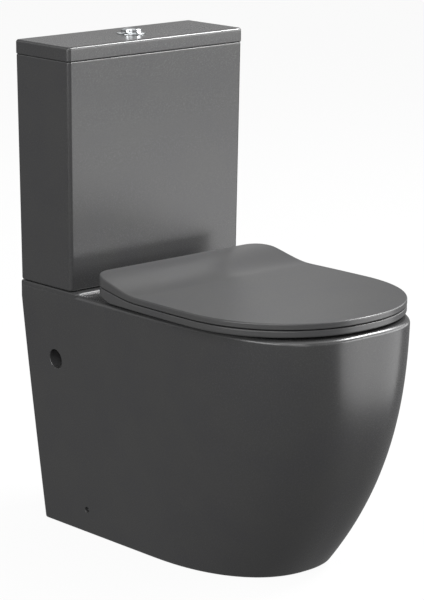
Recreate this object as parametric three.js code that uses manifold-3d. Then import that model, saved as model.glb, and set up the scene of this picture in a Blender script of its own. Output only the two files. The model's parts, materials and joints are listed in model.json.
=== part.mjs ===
// Close coupled toilet, back-to-wall pan with a cistern standing on it, dual-flush button on the
// cistern lid, and a thin soft-close seat and lid.
//
// Millimetres, +Z up. The object faces -Y, the wall is the plane y = +DEPTH / 2, x = 0 is the mirror
// plane, and the origin is on the floor under the middle of the bounding box. Depths are written as
// distances from the wall and turned into y by fromWall().

import * as THREE from 'three';
import { mergeVertices } from 'three/addons/utils/BufferGeometryUtils.js';
import Module from 'manifold-3d';

const wasm = await Module();
wasm.setup();

// ---------------------------------------------------------------- driving dimensions

const DEPTH = 652; // wall to the front of the pan
const GAP = 0.3; // between pieces that touch
const BED = 0.5; // cistern held off the pan by its gasket

const PAN = {
  rim: 428, // top of the bowl rim and of the seat deck
  platform: 431, // top of the raised pad that carries the cistern
  platformFront: 149,
  wall: 14, // thickness of the outer shroud
  slab: 30, // thickness of the deck and rim
  floorHalf: 142,
  topHalf: 188,
  rearFloorHalf: 140.5,
  rearTopHalf: 188,
  floorFront: 509.5,
  sideEnd: 290, // where the straight sides turn into the rounded front
  bottomRound: 5,
  topRound: 8,
};

const BOWL = {
  halfWidth: 140,
  rear: 262,
  front: 608,
  sumpHalf: 38,
  sumpRear: 298,
  sumpFront: 392,
  bottom: 128,
  wall: 10,
};

const TRAP = { bore: 30, wall: 8, end: 32, outletZ: 180 };

const CISTERN = {
  bottom: PAN.platform + BED,
  top: 815.5,
  lidTop: 840,
  bottomHalf: 185,
  topHalf: 189.5,
  lidHalf: 190.2,
  bottomFront: 134.5,
  topFront: 141,
  lidFront: 141.7,
  back: 0.5,
  wall: 9,
  floor: 10,
  centre: 72.5, // distance of the valves and of the button from the wall
};

const SEAT = {
  rear: 190,
  front: 648,
  half: 197,
  widest: 440,
  corner: 42,
  ringBottom: 432,
  ringTop: 443.2,
  lidBottom: 444.9,
  lidTop: 455,
  raisedLid: 20, // how far the rear of the lid rises over its flat part
  raisedSeam: 12.5,
  raisedBottom: 8,
};

// The heel is the rear edge of the seat ring, a half round about the pins that the lid turns over
const HINGE = { x: 78, fromWall: 198.5, z: 448, pin: 5, post: 9.5, heel: 8.5, cover: 17, clear: 0.3 };

const BUTTON = { flange: 24.5, collar: 18, bore: 16, top: 849, split: 3.5, rodX: 7.6, rod: 2.6 };

const VALVE = { tail: 30, bore: 25, tube: 20, tower: 39, towerWall: 3, head: 700 };

const FILL = { x: 126, shank: 10, column: 13, float: 32, top: 715 };

// Holes in the pan: the access holes in its sides, each with a thick boss inside the wall, and the
// way of the flush water from the valve to the bowl, which is a stepped well under the cistern and a
// channel forward from it
const ACCESS = { radius: 16.5, fromWall: 83, z: 307, boss: 27, bossEnd: 148.5, bossRoot: 168 };
const WELL = { radius: 35, bottom: 358, seat: 52, seatZ: 402, wall: 23 };
const CHANNEL = { radius: 16, wall: 11, z: 376 };

// Floor fixing, screwed through the foot of the shroud; the last size is its inner face there
const FIXING = { fromWall: 125, z: 45, hole: 5, wallInside: 134 };

const floorOfCistern = CISTERN.bottom + CISTERN.floor;
const deckUnder = PAN.rim - PAN.slab;

// ---------------------------------------------------------------- finishes

const paint = (color, roughness, metalness) => () =>
  new THREE.MeshStandardMaterial({ color, roughness, metalness });

const FINISH = {
  glaze: paint(0x4a4a4c, 0.38, 0),
  seat: paint(0x5a5a5c, 0.42, 0),
  chrome: paint(0xe6e8ea, 0.08, 1),
  steel: paint(0xb4b6b8, 0.3, 1),
  brass: paint(0xc9a45c, 0.3, 1),
  rubber: paint(0x1d1d1e, 0.85, 0),
  whitePlastic: paint(0xe9e9e6, 0.45, 0),
  bluePlastic: paint(0x3b6ea5, 0.45, 0),
  greyPlastic: paint(0x77797c, 0.5, 0),
};

// ---------------------------------------------------------------- geometry helpers

const fromWall = (distance) => DEPTH / 2 - distance;

const mix = (a, b, t) => a + (b - a) * t;

const smooth = (t) => THREE.MathUtils.smoothstep(t, 0, 1);

const toSolid = (geometry) => {
  const bare = geometry.clone();
  bare.deleteAttribute('normal');
  bare.deleteAttribute('uv');
  const merged = mergeVertices(bare, 1e-4);
  return new wasm.Manifold(new wasm.Mesh({
    numProp: 3,
    vertProperties: new Float32Array(merged.attributes.position.array),
    triVerts: new Uint32Array(merged.index.array),
  }));
};

const toGeometry = (solid) => {
  const mesh = solid.getMesh();
  const geometry = new THREE.BufferGeometry();
  geometry.setAttribute('position', new THREE.BufferAttribute(mesh.vertProperties, 3));
  geometry.setIndex(new THREE.BufferAttribute(mesh.triVerts, 1));
  geometry.computeVertexNormals();
  return geometry;
};

const join = (...pieces) => toGeometry(pieces.map(toSolid).reduce((a, b) => a.add(b)));

const cut = (piece, ...tools) =>
  toGeometry(tools.map(toSolid).reduce((a, b) => a.subtract(b), toSolid(piece)));

// Skin over a stack of rings with the same number of points, each anticlockwise seen from above and
// listed upwards over the outside. The ends are closed by fans, or the last ring meets the first.
const loft = (rings, closed = false) => {
  const count = rings[0].length;
  const positions = rings.flat().flatMap((p) => [p.x, p.y, p.z]);
  const index = [];
  const strips = closed ? rings.length : rings.length - 1;
  for (let k = 0; k < strips; k += 1) {
    const low = k * count;
    const high = ((k + 1) % rings.length) * count;
    for (let i = 0; i < count; i += 1) {
      const next = (i + 1) % count;
      index.push(low + i, low + next, high + next, low + i, high + next, high + i);
    }
  }
  const fan = (ring, start, flip) => {
    const middle = ring.reduce((sum, p) => sum.add(p), new THREE.Vector3()).divideScalar(count);
    const hub = positions.push(middle.x, middle.y, middle.z) / 3 - 1;
    for (let i = 0; i < count; i += 1) {
      const next = (i + 1) % count;
      index.push(hub, start + (flip ? next : i), start + (flip ? i : next));
    }
  };
  if (!closed) {
    fan(rings[0], 0, true);
    fan(rings.at(-1), (rings.length - 1) * count, false);
  }
  const geometry = new THREE.BufferGeometry();
  geometry.setAttribute('position', new THREE.Float32BufferAttribute(positions, 3));
  geometry.setIndex(index);
  geometry.computeVertexNormals();
  return geometry;
};

// Solid of revolution about +Z. The profile is [radius, height], anticlockwise with the radius to
// the right; it starts and ends on the axis, or is closed here.
const turned = (profile, sides = 16) => {
  const points = profile.map(([r, z]) => new THREE.Vector2(r, z));
  if (profile[0][0] > 0) points.push(points[0].clone());
  return new THREE.LatheGeometry(points, sides).rotateX(Math.PI / 2);
};

const ring = (inner, outer, low, high, sides = 16) =>
  turned([[inner, low], [outer, low], [outer, high], [inner, high]], sides);

const drum = (radius, low, high, sides = 16) =>
  turned([[0, low], [radius, low], [radius, high], [0, high]], sides);

// Nut with a few flats outside and a round hole that clears a shaft of the given radius
const nut = (shaft, across, low, high, flats = 6, sides = 16) =>
  cut(drum(across, low, high, flats), drum(shaft + GAP, low - 1, high + 1, sides));

const block = (x0, x1, y0, y1, z0, z1) =>
  new THREE.BoxGeometry(x1 - x0, y1 - y0, z1 - z0)
    .translate((x0 + x1) / 2, (y0 + y1) / 2, (z0 + z1) / 2);

// Cylinder along X from x0 to x1
const crossBar = (radius, x0, x1, y, z, sides = 16) =>
  new THREE.CylinderGeometry(radius, radius, x1 - x0, sides)
    .rotateZ(Math.PI / 2)
    .translate((x0 + x1) / 2, y, z);

// Round tube along a curve
const hose = (curve, radius, steps, sides) => {
  const circle = new THREE.Shape().absarc(0, 0, radius, 0, 2 * Math.PI, false);
  return new THREE.ExtrudeGeometry(circle, {
    steps,
    curveSegments: sides,
    bevelEnabled: false,
    extrudePath: curve,
  });
};

// Mirror a half outline, listed from the wall to the front on the +X side, into a full ring that
// runs anticlockwise seen from above (wall right, wall left, then round the front).
const mirrored = (half, height) => {
  const left = half.map(([x, d]) => [-x, d]);
  const right = half.filter(([x]) => x > 1e-6).reverse();
  return [...left, ...right].map(
    ([x, d]) => new THREE.Vector3(x, fromWall(d), height(x, d)),
  );
};

// Quarter of a superellipse from its widest point to its tip, as [x, distance from the wall]
const frontCap = (half, start, tip, blunt, square, steps) => {
  const points = [];
  for (let i = 0; i <= steps; i += 1) {
    const angle = (Math.PI / 2) * (i / steps);
    const x = half * Math.max(Math.cos(angle), 0) ** (2 / square);
    const reach = Math.sin(angle) ** (2 / blunt);
    points.push([i === steps ? 0 : x, mix(start, tip, reach)]);
  }
  return points;
};

// ---------------------------------------------------------------- the parts

const toilet = new THREE.Group();
toilet.name = 'toilet';

const node = (name, finish, geometry, x = 0, y = 0, z = 0) => {
  const mesh = new THREE.Mesh(geometry, finish());
  mesh.name = name;
  mesh.position.set(x, y, z);
  toilet.add(mesh);
};

const SIDES = [['left', -1], ['right', 1]];

// A stretch of x from a to b on the right, or its mirror image on the left (s = -1), low end first
const span = (s, a, b) => (s > 0 ? [a, b] : [-b, -a]);

// ---- pan: one vitreous china casting, in two nodes. "pan" is the shroud with the deck and rim, and
// "pan_bowl" is what hangs under the deck: the bowl, the trap and the way of the flush water.

// Half outline of the shroud at a height, drawn in by an inset. It swells from a narrow foot: the
// sides run straight from the wall and a superellipse makes the front.
const shroudOutline = (z, inset) => {
  const up = THREE.MathUtils.clamp(z / PAN.rim, 0, 1);
  const swell = (power) => 1 - (1 - up) ** power;
  const shoulder = 3 * smooth((z - 404) / 26);
  const half = mix(PAN.floorHalf, PAN.topHalf, swell(2.19)) - inset;
  const rearHalf = mix(PAN.rearFloorHalf, PAN.rearTopHalf, swell(1.1)) - inset - shoulder;
  const tip = mix(PAN.floorFront, DEPTH, swell(2.5)) - inset;
  const points = [];
  for (let i = 0; i < 5; i += 1) {
    points.push([mix(rearHalf, half, i / 5), mix(0, PAN.sideEnd, i / 5)]);
  }
  const cap = frontCap(half, PAN.sideEnd, tip, mix(2.32, 2.56, up), mix(2.32, 3.5, up), 12);
  return [...points, ...cap];
};

const shroudRing = (z, inset, back = 0) =>
  mirrored(shroudOutline(z, inset).map(([x, d], i) => [x, i ? d : back]), () => z);

const panOuter = () => {
  const { rim, bottomRound: low, topRound: high } = PAN;
  const rimEdge = [0, 1, 2, 3].map((i) => {
    const angle = (Math.PI / 6) * i;
    return shroudRing(rim - high * (1 - Math.sin(angle)), high * (1 - Math.cos(angle)));
  });
  return loft([
    shroudRing(0, low),
    shroudRing(low * 0.3, low * 0.3),
    shroudRing(low, 0),
    ...[45, 90, 140, 190, 245, 300, 350, 385, 408].map((z) => shroudRing(z, 0)),
    ...rimEdge,
  ]);
};

const panHollow = () =>
  loft([-2, 60, 130, 220, 310, PAN.rim - PAN.slab].map((z) => shroudRing(z, PAN.wall, -4)));

// Raised pad for the cistern, with a soft front edge
const panPlatform = () => {
  const [rearHalf] = shroudOutline(PAN.rim, 0)[0];
  const layer = (z, inset) => {
    const front = PAN.platformFront - inset;
    const half = (d) => mix(rearHalf, PAN.topHalf, d / PAN.sideEnd) - inset;
    return mirrored(
      [[half(0), 0], [half(front - 8), front - 8], [half(front) - 8, front]],
      () => z,
    );
  };
  return loft([layer(PAN.rim - 12, 0.5), layer(PAN.rim - 1, 1), layer(PAN.platform, 4.5)]);
};

// Ring of the bowl at a depth from 0 at the rim to 1 at the bottom of the sump
const bowlRing = (depth, grow) => {
  const z = mix(PAN.rim, BOWL.bottom, depth) - grow * smooth(depth);
  const half = mix(BOWL.sumpHalf, BOWL.halfWidth, (1 - depth) ** 0.75) + grow;
  const rear = mix(BOWL.sumpRear, BOWL.rear, (1 - depth) ** 0.8) - grow;
  const front = mix(BOWL.sumpFront, BOWL.front, (1 - depth) ** 0.6) + grow;
  const points = [];
  for (let i = 0; i < 28; i += 1) {
    const angle = (2 * Math.PI * i) / 28;
    const x = half * Math.cos(angle);
    const d = (rear + front) / 2 - ((front - rear) / 2) * Math.sin(angle);
    points.push(new THREE.Vector3(x, fromWall(d), z));
  }
  return points;
};

const bowl = (grow, lift) => {
  const rings = [1, 0.9, 0.75, 0.6, 0.4, 0.2, 0].map((depth) => bowlRing(depth, grow));
  const mouth = rings.at(-1).map((p) => new THREE.Vector3(p.x, p.y, p.z + lift));
  return loft([...rings, mouth]);
};

// Centre line of the trap: out of the sump, up over the weir and down to the outlet at the wall
const trapCurve = new THREE.CatmullRomCurve3(
  [
    [352, 180], [312, 162], [272, 172], [242, 206], [216, 246], [180, 270],
    [144, 254], [122, 218], [96, 190], [62, TRAP.outletZ], [26, TRAP.outletZ],
  ].map(([d, z]) => new THREE.Vector3(0, fromWall(d), z)),
);

const flushInletY = fromWall(CISTERN.centre);

const channel = (radius, start, end) =>
  new THREE.CylinderGeometry(radius, radius, end - start, 16)
    .translate(0, fromWall((start + end) / 2), CHANNEL.z);

const TANK_BOLT_X = 78;

const panHoles = () => {
  const at = (geometry, x, distance) => geometry.translate(x, fromWall(distance), 0);
  const holes = [
    bowl(0, 8),
    hose(trapCurve, TRAP.bore, 20, 8),
    block(-60, 60, fromWall(TRAP.end), fromWall(0), 130, 230),
    drum(WELL.seat, WELL.seatZ, 440, 24).translate(0, flushInletY, 0),
    drum(WELL.radius, WELL.bottom, 440, 20).translate(0, flushInletY, 0),
    channel(CHANNEL.radius, CISTERN.centre, BOWL.rear + 30),
    at(drum(24, 390, 440, 20), FILL.x, CISTERN.centre),
    crossBar(ACCESS.radius, -220, 220, fromWall(ACCESS.fromWall), ACCESS.z, 20),
    crossBar(FIXING.hole, -220, 220, fromWall(FIXING.fromWall), FIXING.z, 12),
  ];
  SIDES.forEach(([, s]) => {
    holes.push(at(drum(6, 390, 440, 16), s * TANK_BOLT_X, CISTERN.centre));
    holes.push(at(drum(6.5, 390, 440, 16), s * HINGE.x, HINGE.fromWall));
  });
  return holes;
};

const accessBoss = (s) => {
  const ends = span(s, ACCESS.bossEnd, ACCESS.bossRoot);
  return crossBar(ACCESS.boss, ...ends, fromWall(ACCESS.fromWall), ACCESS.z, 24);
};

const panShroud = () => {
  const shell = cut(panOuter(), panHollow());
  const bosses = SIDES.map(([, s]) => accessBoss(s));
  return cut(join(shell, panPlatform(), ...bosses), ...panHoles());
};

const panBowl = () => {
  const whole = join(
    bowl(BOWL.wall, -1),
    hose(trapCurve, TRAP.bore + TRAP.wall, 20, 8),
    drum(WELL.radius + WELL.wall, WELL.bottom - 14, 410, 24).translate(0, flushInletY, 0),
    channel(CHANNEL.radius + CHANNEL.wall, CISTERN.centre, BOWL.rear + 4),
  );
  const deck = block(-220, 220, fromWall(DEPTH), fromWall(0), deckUnder - GAP, 500);
  return cut(whole, deck, ...panHoles());
};

node('pan', FINISH.glaze, panShroud());
node('pan_bowl', FINISH.glaze, panBowl());

// ---- cistern shell and lid

// Rounded rectangle ring; the back is against the wall and the corner radii differ front and back
const cisternRing = (z, half, front, inset) => {
  const corners = [[7, front], [4, CISTERN.back]];
  const points = [];
  const arc = (x, d, radius, from) => {
    for (let i = 0; i <= 3; i += 1) {
      const angle = from + (Math.PI / 2) * (i / 3);
      points.push([x + radius * Math.cos(angle), d - radius * Math.sin(angle)]);
    }
  };
  const [[frontRadius, frontEdge], [backRadius, backEdge]] = corners;
  const f = Math.max(frontRadius - inset, 1);
  const b = Math.max(backRadius - inset, 1);
  const side = half - inset;
  arc(side - b, backEdge + inset + b, b, 0);
  arc(-side + b, backEdge + inset + b, b, Math.PI / 2);
  arc(-side + f, frontEdge - inset - f, f, Math.PI);
  arc(side - f, frontEdge - inset - f, f, 1.5 * Math.PI);
  return points.map(([x, d]) => new THREE.Vector3(x, fromWall(d), z));
};

const cisternSection = (z, inset) => {
  const up = (z - CISTERN.bottom) / (CISTERN.top - CISTERN.bottom);
  const half = mix(CISTERN.bottomHalf, CISTERN.topHalf, up);
  return cisternRing(z, half, mix(CISTERN.bottomFront, CISTERN.topFront, up), inset);
};

const cisternBody = () => {
  const { bottom, top, wall } = CISTERN;
  const outside = loft([
    cisternSection(bottom, 4.5),
    cisternSection(bottom + 1.3, 1.3),
    cisternSection(bottom + 4.5, 0),
    cisternSection(top - 3, 0),
    cisternSection(top, 2.2),
  ]);
  const inside = loft([
    cisternSection(floorOfCistern, wall + 6),
    cisternSection(floorOfCistern + 6, wall),
    cisternSection(top + 5, wall),
  ]);
  const centre = fromWall(CISTERN.centre);
  const holes = [
    drum(VALVE.tail + 2, bottom - 5, bottom + 30, 20).translate(0, centre, 0),
    drum(FILL.shank + 1, bottom - 5, bottom + 30, 16).translate(FILL.x, centre, 0),
  ];
  SIDES.forEach(([, s]) => {
    holes.push(drum(5.5, bottom - 5, bottom + 30, 16).translate(s * TANK_BOLT_X, centre, 0));
  });
  return cut(outside, inside, ...holes);
};

const cisternLid = () => {
  const { top, lidTop } = CISTERN;
  const low = top + GAP;
  const layer = (z, inset) => cisternRing(z, CISTERN.lidHalf, CISTERN.lidFront, inset);
  const slab = loft([
    layer(low, 2.5),
    layer(low + 2.5, 0),
    layer(lidTop - 5, 0),
    layer(lidTop - 1.5, 1.5),
    layer(lidTop, 5),
  ]);
  const lip = cut(
    loft([layer(top - 9, 11.5), layer(low + 2, 11.5)]),
    loft([layer(top - 12, 19), layer(low - 0.01, 19)]),
  );
  const hollow = loft([layer(low - 1, 19), layer(lidTop - 11, 19)]);
  const hole = drum(BUTTON.collar + 0.6, 790, 860, 24).translate(0, fromWall(CISTERN.centre), 0);
  return cut(join(slab, lip), hollow, hole);
};

node('cistern_body', FINISH.glaze, cisternBody());
node('cistern_lid', FINISH.glaze, cisternLid());

// ---- flush buttons: bezel through the lid, two buttons, their rods and springs

const centreY = fromWall(CISTERN.centre);
const lidTop = CISTERN.lidTop;
const BEZEL_FLOOR = 806;

const bezel = () => {
  const { flange, collar, bore } = BUTTON;
  const shell = turned([
    [0, BEZEL_FLOOR], [collar, BEZEL_FLOOR], [collar, lidTop + GAP], [flange, lidTop + GAP],
    [flange, lidTop + 1], [flange - 1, lidTop + 1.7], [collar + 1, lidTop + 2.2],
    [collar, lidTop + 3.2], [collar, lidTop + 7], [collar - 0.8, lidTop + 8],
    [bore, lidTop + 8], [bore, BEZEL_FLOOR + 4], [0, BEZEL_FLOOR + 4],
  ], 24);
  const holes = [-1, 1].map((s) => drum(3.2, 800, 815, 12).translate(s * BUTTON.rodX, 0, 0));
  return cut(shell, ...holes);
};

// The disc inside the collar is split by a straight gap; each button is one side of it
const buttonShape = (side) => {
  const radius = BUTTON.bore - 0.4 - 0.7;
  const edge = side * 0.35 - BUTTON.split + 0.7 * side;
  const half = Math.acos(edge / radius);
  const shape = new THREE.Shape();
  if (side > 0) shape.absarc(0, 0, radius, -half, half, false);
  else shape.absarc(0, 0, radius, half, 2 * Math.PI - half, false);
  return shape;
};

const BUTTON_FOOT = 836;

const pushButton = (side) =>
  new THREE.ExtrudeGeometry(buttonShape(side), {
    depth: BUTTON.top - BUTTON_FOOT - 1.4,
    curveSegments: 10,
    bevelEnabled: true,
    bevelThickness: 0.7,
    bevelSize: 0.7,
    bevelSegments: 1,
  }).translate(0, 0, BUTTON_FOOT + 0.7);

class Helix extends THREE.Curve {
  constructor(radius, low, high, turns) {
    super();
    Object.assign(this, { radius, low, high, turns });
  }

  getPoint(t, target = new THREE.Vector3()) {
    const angle = 2 * Math.PI * this.turns * t;
    const x = this.radius * Math.cos(angle);
    return target.set(x, this.radius * Math.sin(angle), mix(this.low, this.high, t));
  }
}

const buttonSpring = () => {
  const wire = 0.55;
  const curve = new Helix(4.4, BEZEL_FLOOR + 4.3 + wire, BUTTON_FOOT - 0.3 - wire, 4);
  return hose(curve, wire, 28, 2);
};

node('button_bezel', FINISH.chrome, bezel(), 0, centreY);
node('button_lock_nut', FINISH.greyPlastic, ring(BUTTON.collar + GAP, 27, 810, 815, 24), 0, centreY);

[['half_flush', -1], ['full_flush', 1]].forEach(([name, side]) => {
  const x = side * BUTTON.rodX;
  node(`${name}_button`, FINISH.chrome, pushButton(side), 0, centreY);
  node(`${name}_rod`, FINISH.whitePlastic,
    drum(BUTTON.rod, VALVE.head + 14, BUTTON_FOOT - GAP, 12), x, centreY);
  node(`${name}_spring`, FINISH.steel, buttonSpring(), x, centreY);
});

// ---- flush valve: base through the cistern floor, tower, head, and the tube that lifts

const seatZ = floorOfCistern + 8;

const valveBase = () => {
  const { tail, bore } = VALVE;
  return turned([
    [bore, 397], [tail, 397], [tail, floorOfCistern + 3.2], [45, floorOfCistern + 3.2],
    [45, floorOfCistern + 7], [39, floorOfCistern + 7], [39, floorOfCistern + 12],
    [36, floorOfCistern + 12], [36, seatZ], [bore, seatZ],
  ], 20);
};

const valveTower = () => {
  const low = floorOfCistern + 12 + GAP;
  const tube = ring(VALVE.tower - VALVE.towerWall, VALVE.tower, low, VALVE.head, 20);
  const windows = [0, 1].map((i) =>
    block(-60, 60, -17, 17, low + 6, low + 72).rotateZ((i * Math.PI) / 2));
  return cut(tube, ...windows);
};

const valveHead = () => {
  const { head } = VALVE;
  const shell = turned([
    [36, head + GAP], [39, head + GAP], [39, head + 26], [37, head + 30], [0, head + 30],
    [0, head + 27], [36, head + 27],
  ], 20);
  const guides = [-1, 1].map((s) => drum(3.2, head + 20, head + 40, 12)
    .translate(s * BUTTON.rodX, 0, 0));
  return cut(shell, ...guides);
};

node('flush_valve_base', FINISH.whitePlastic, valveBase(), 0, centreY);
node('flush_valve_washer', FINISH.rubber,
  ring(VALVE.tail + GAP, 45, floorOfCistern + GAP, floorOfCistern + 2.9, 20), 0, centreY);
node('flush_valve_back_nut', FINISH.whitePlastic,
  nut(VALVE.tail, 42, 421, CISTERN.bottom - GAP, 10, 20), 0, centreY);
node('close_coupling_gasket', FINISH.rubber,
  turned([[31, 402.5], [49, 402.5], [50, 409], [46, 420.6], [31, 420.6]], 20), 0, centreY);
node('flush_valve_tower', FINISH.whitePlastic, valveTower(), 0, centreY);
node('flush_valve_head', FINISH.bluePlastic, valveHead(), 0, centreY);
node('overflow_tube', FINISH.whitePlastic,
  ring(VALVE.tube - 2.5, VALVE.tube, seatZ + GAP, 640), 0, centreY);
node('flush_seal', FINISH.rubber,
  ring(VALVE.tube + GAP, 30, seatZ + GAP, seatZ + 3.3), 0, centreY);
node('flush_seal_retainer', FINISH.bluePlastic,
  nut(VALVE.tube, 28, seatZ + 3.6, seatZ + 9, 12), 0, centreY);

// ---- fill valve, bottom entry, with a float cup that slides on its column

const fillBody = () =>
  turned([
    [5, 372], [FILL.shank, 372], [FILL.shank, floorOfCistern + 3.2],
    [20, floorOfCistern + 3.2], [20, floorOfCistern + 8], [FILL.column, floorOfCistern + 10],
    [FILL.column, FILL.top], [5, FILL.top],
  ]);

const FLOAT_LOW = 622;
const FLOAT_HIGH = 684;
const LEVER_Z = 750;
const LEVER_REACH = 22;
const LEVER_TAIL = 22; // past the pivot, over the seat of the valve, so that the lever balances
const HEAD_TOP = LEVER_Z - 12;
const PIVOT_X = -6; // lever pivot, from the axis of the fill valve

const floatCup = () =>
  turned([
    [14.2, FLOAT_LOW + 3], [FILL.float - 2.5, FLOAT_LOW + 3], [FILL.float - 2.5, FLOAT_LOW],
    [FILL.float, FLOAT_LOW], [FILL.float, FLOAT_HIGH - 2], [FILL.float - 2, FLOAT_HIGH],
    [14.2, FLOAT_HIGH],
  ], 20);

const fillHead = () => {
  const cap = turned([
    [0, FILL.top + GAP], [18, FILL.top + GAP], [20, FILL.top + 3], [20, HEAD_TOP - 4],
    [16, HEAD_TOP], [0, HEAD_TOP],
  ]);
  const ears = [-1, 1].map((s) => {
    const y = s * 6;
    return block(PIVOT_X - 4, PIVOT_X + 4, y - 1.5, y + 1.5, HEAD_TOP - 4, LEVER_Z + 5);
  });
  const bore = new THREE.CylinderGeometry(1.8, 1.8, 40, 12).translate(PIVOT_X, 0, LEVER_Z);
  return cut(join(cap, ...ears), bore);
};

const floatLever = () => {
  const end = PIVOT_X - LEVER_REACH;
  const arm = block(end - 5, PIVOT_X + LEVER_TAIL, -4, 4, LEVER_Z - 2, LEVER_Z + 2);
  const slot = drum(3.4, LEVER_Z - 10, LEVER_Z + 10, 12).translate(end, 0, 0);
  const mouth = block(end - 12, end, -2.2, 2.2, LEVER_Z - 10, LEVER_Z + 10);
  const bore = new THREE.CylinderGeometry(1.8, 1.8, 40, 12).translate(PIVOT_X, 0, LEVER_Z);
  return cut(arm, slot, mouth, bore);
};

node('fill_valve_body', FINISH.whitePlastic, fillBody(), FILL.x, centreY);
node('fill_valve_washer', FINISH.rubber,
  ring(FILL.shank + GAP, 20, floorOfCistern + GAP, floorOfCistern + 2.9), FILL.x, centreY);
node('fill_valve_back_nut', FINISH.whitePlastic,
  nut(FILL.shank, 19, 422, CISTERN.bottom - GAP), FILL.x, centreY);
node('fill_valve_head', FINISH.greyPlastic, fillHead(), FILL.x, centreY);
node('float_cup', FINISH.bluePlastic, floatCup(), FILL.x, centreY);
node('float_link_rod', FINISH.steel,
  drum(1.5, FLOAT_HIGH + GAP, LEVER_Z + 14, 8), FILL.x + PIVOT_X - LEVER_REACH, centreY);
node('float_lever', FINISH.whitePlastic, floatLever(), FILL.x, centreY);
node('float_lever_pin', FINISH.steel,
  new THREE.CylinderGeometry(1.5, 1.5, 17, 12), FILL.x + PIVOT_X, centreY, LEVER_Z);

// ---- bolts that hold the cistern down on the pan

const screwDown = (head, shank, low, high) =>
  turned([[0, low], [shank, low], [shank, high], [head, high], [head, high + 3],
    [head * 0.6, high + 5], [0, high + 5]], 16);

const wingNut = () => {
  const hub = drum(9, deckUnder - 17, deckUnder - 8.6, 16);
  const wings = block(-19, 19, -2, 2, deckUnder - 24, deckUnder - 9.5);
  return cut(join(hub, wings), drum(4.3, deckUnder - 40, deckUnder, 16));
};

SIDES.forEach(([side, s]) => {
  const x = s * TANK_BOLT_X;
  node(`tank_bolt_${side}`, FINISH.steel,
    screwDown(9, 4, deckUnder - 36, floorOfCistern + 6.6), x, centreY);
  node(`tank_bolt_seal_${side}`, FINISH.rubber,
    turned([[4.3, floorOfCistern + GAP], [13, floorOfCistern + GAP], [10, floorOfCistern + 6.3],
      [4.3, floorOfCistern + 6.3]]), x, centreY);
  node(`tank_bolt_washer_${side}`, FINISH.rubber,
    ring(4.3, 13, deckUnder - 8.3, deckUnder - GAP), x, centreY);
  node(`tank_wing_nut_${side}`, FINISH.brass, wingNut(), x, centreY);
});

// ---- seat ring and lid

const rise = (d) => smooth((312 - d) / 122);

const seatOutline = (inset) => {
  const radius = Math.max(SEAT.corner - inset, 6);
  const half = (d) => SEAT.half - 7 * ((SEAT.widest - d) / 225) ** 2 - inset;
  const rear = SEAT.rear + inset;
  const cornerX = half(rear + radius) - radius;
  const points = [[cornerX / 3, rear], [cornerX * 0.7, rear]];
  for (let i = 0; i <= 4; i += 1) {
    const angle = (Math.PI / 2) * (i / 4);
    points.push([cornerX + radius * Math.sin(angle), rear + radius * (1 - Math.cos(angle))]);
  }
  for (let i = 1; i < 6; i += 1) {
    const d = mix(rear + radius, SEAT.widest, i / 6);
    points.push([half(d), d]);
  }
  const cap = frontCap(SEAT.half - inset, SEAT.widest, SEAT.front - inset, 2.15, 2.15, 13);
  return [...points, ...cap];
};

// A ring of the seat or lid: the outline drawn in, or shrunk towards a middle, at its own height
const seatRing = (inset, height) => mirrored(seatOutline(inset), (x, d) => height(d));

const SEAT_MIDDLE = 430;

const shrunk = (inset, scale, height) => {
  const points = seatOutline(inset).map(([x, d]) => [x * scale, mix(SEAT_MIDDLE, d, scale)]);
  return mirrored(points, (x, d) => height(d));
};

const ringBottom = (d) => SEAT.ringBottom + SEAT.raisedBottom * smooth((248 - d) / 40);
const ringTop = (d) => SEAT.ringTop + SEAT.raisedSeam * rise(d);
const lidBottom = (d) => SEAT.lidBottom + SEAT.raisedSeam * rise(d);
const lidUp = (d) => SEAT.lidTop + SEAT.raisedLid * rise(d);

// The inner edge of the seat is an ellipse; its points follow those of the outer edge by angle
const HOLE = { half: 106, reach: 138, centre: 438 };

const seatHole = (grow, height) => {
  const outer = seatOutline(0);
  const points = outer.map(([x, d]) => {
    const angle = Math.atan2(d - SEAT_MIDDLE, x);
    const across = (HOLE.half + grow) * Math.cos(angle);
    return [x === 0 ? 0 : across, HOLE.centre + (HOLE.reach + grow) * Math.sin(angle)];
  });
  return mirrored(points, (x, d) => height(d));
};

const HINGE_NOTCH = { from: 44, to: 95.5, front: HINGE.fromWall + 17 };

const seatRingGeometry = () => {
  const shape = loft([
    seatRing(3, ringBottom),
    seatRing(0.5, (d) => ringBottom(d) + 3),
    seatRing(0.5, (d) => ringTop(d) - 1.5),
    seatRing(2, ringTop),
    seatHole(8, ringTop),
    seatHole(1, (d) => ringTop(d) - 3),
    seatHole(1, (d) => ringBottom(d) + 2),
    seatHole(4, ringBottom),
  ], true);
  const axisY = fromWall(HINGE.fromWall);
  const back = fromWall(SEAT.rear - 5);
  const behind = block(-SEAT.half, SEAT.half, axisY, back, 420, 480);
  const cuts = [cut(behind, crossBar(HINGE.heel, -SEAT.half - 5, SEAT.half + 5, axisY, HINGE.z, 24))];
  SIDES.forEach(([, s]) => {
    const notch = span(s, HINGE_NOTCH.from, HINGE_NOTCH.to);
    cuts.push(block(...notch, fromWall(HINGE_NOTCH.front), back, 420, 480));
    cuts.push(crossBar(HINGE.pin + HINGE.clear, ...span(s, 90, 113), axisY, HINGE.z));
  });
  return cut(shape, ...cuts);
};

const LID_RIM = 18; // width of the lid's thick edge round the recess under it
const LID_SKIN = 5.5;

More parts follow.
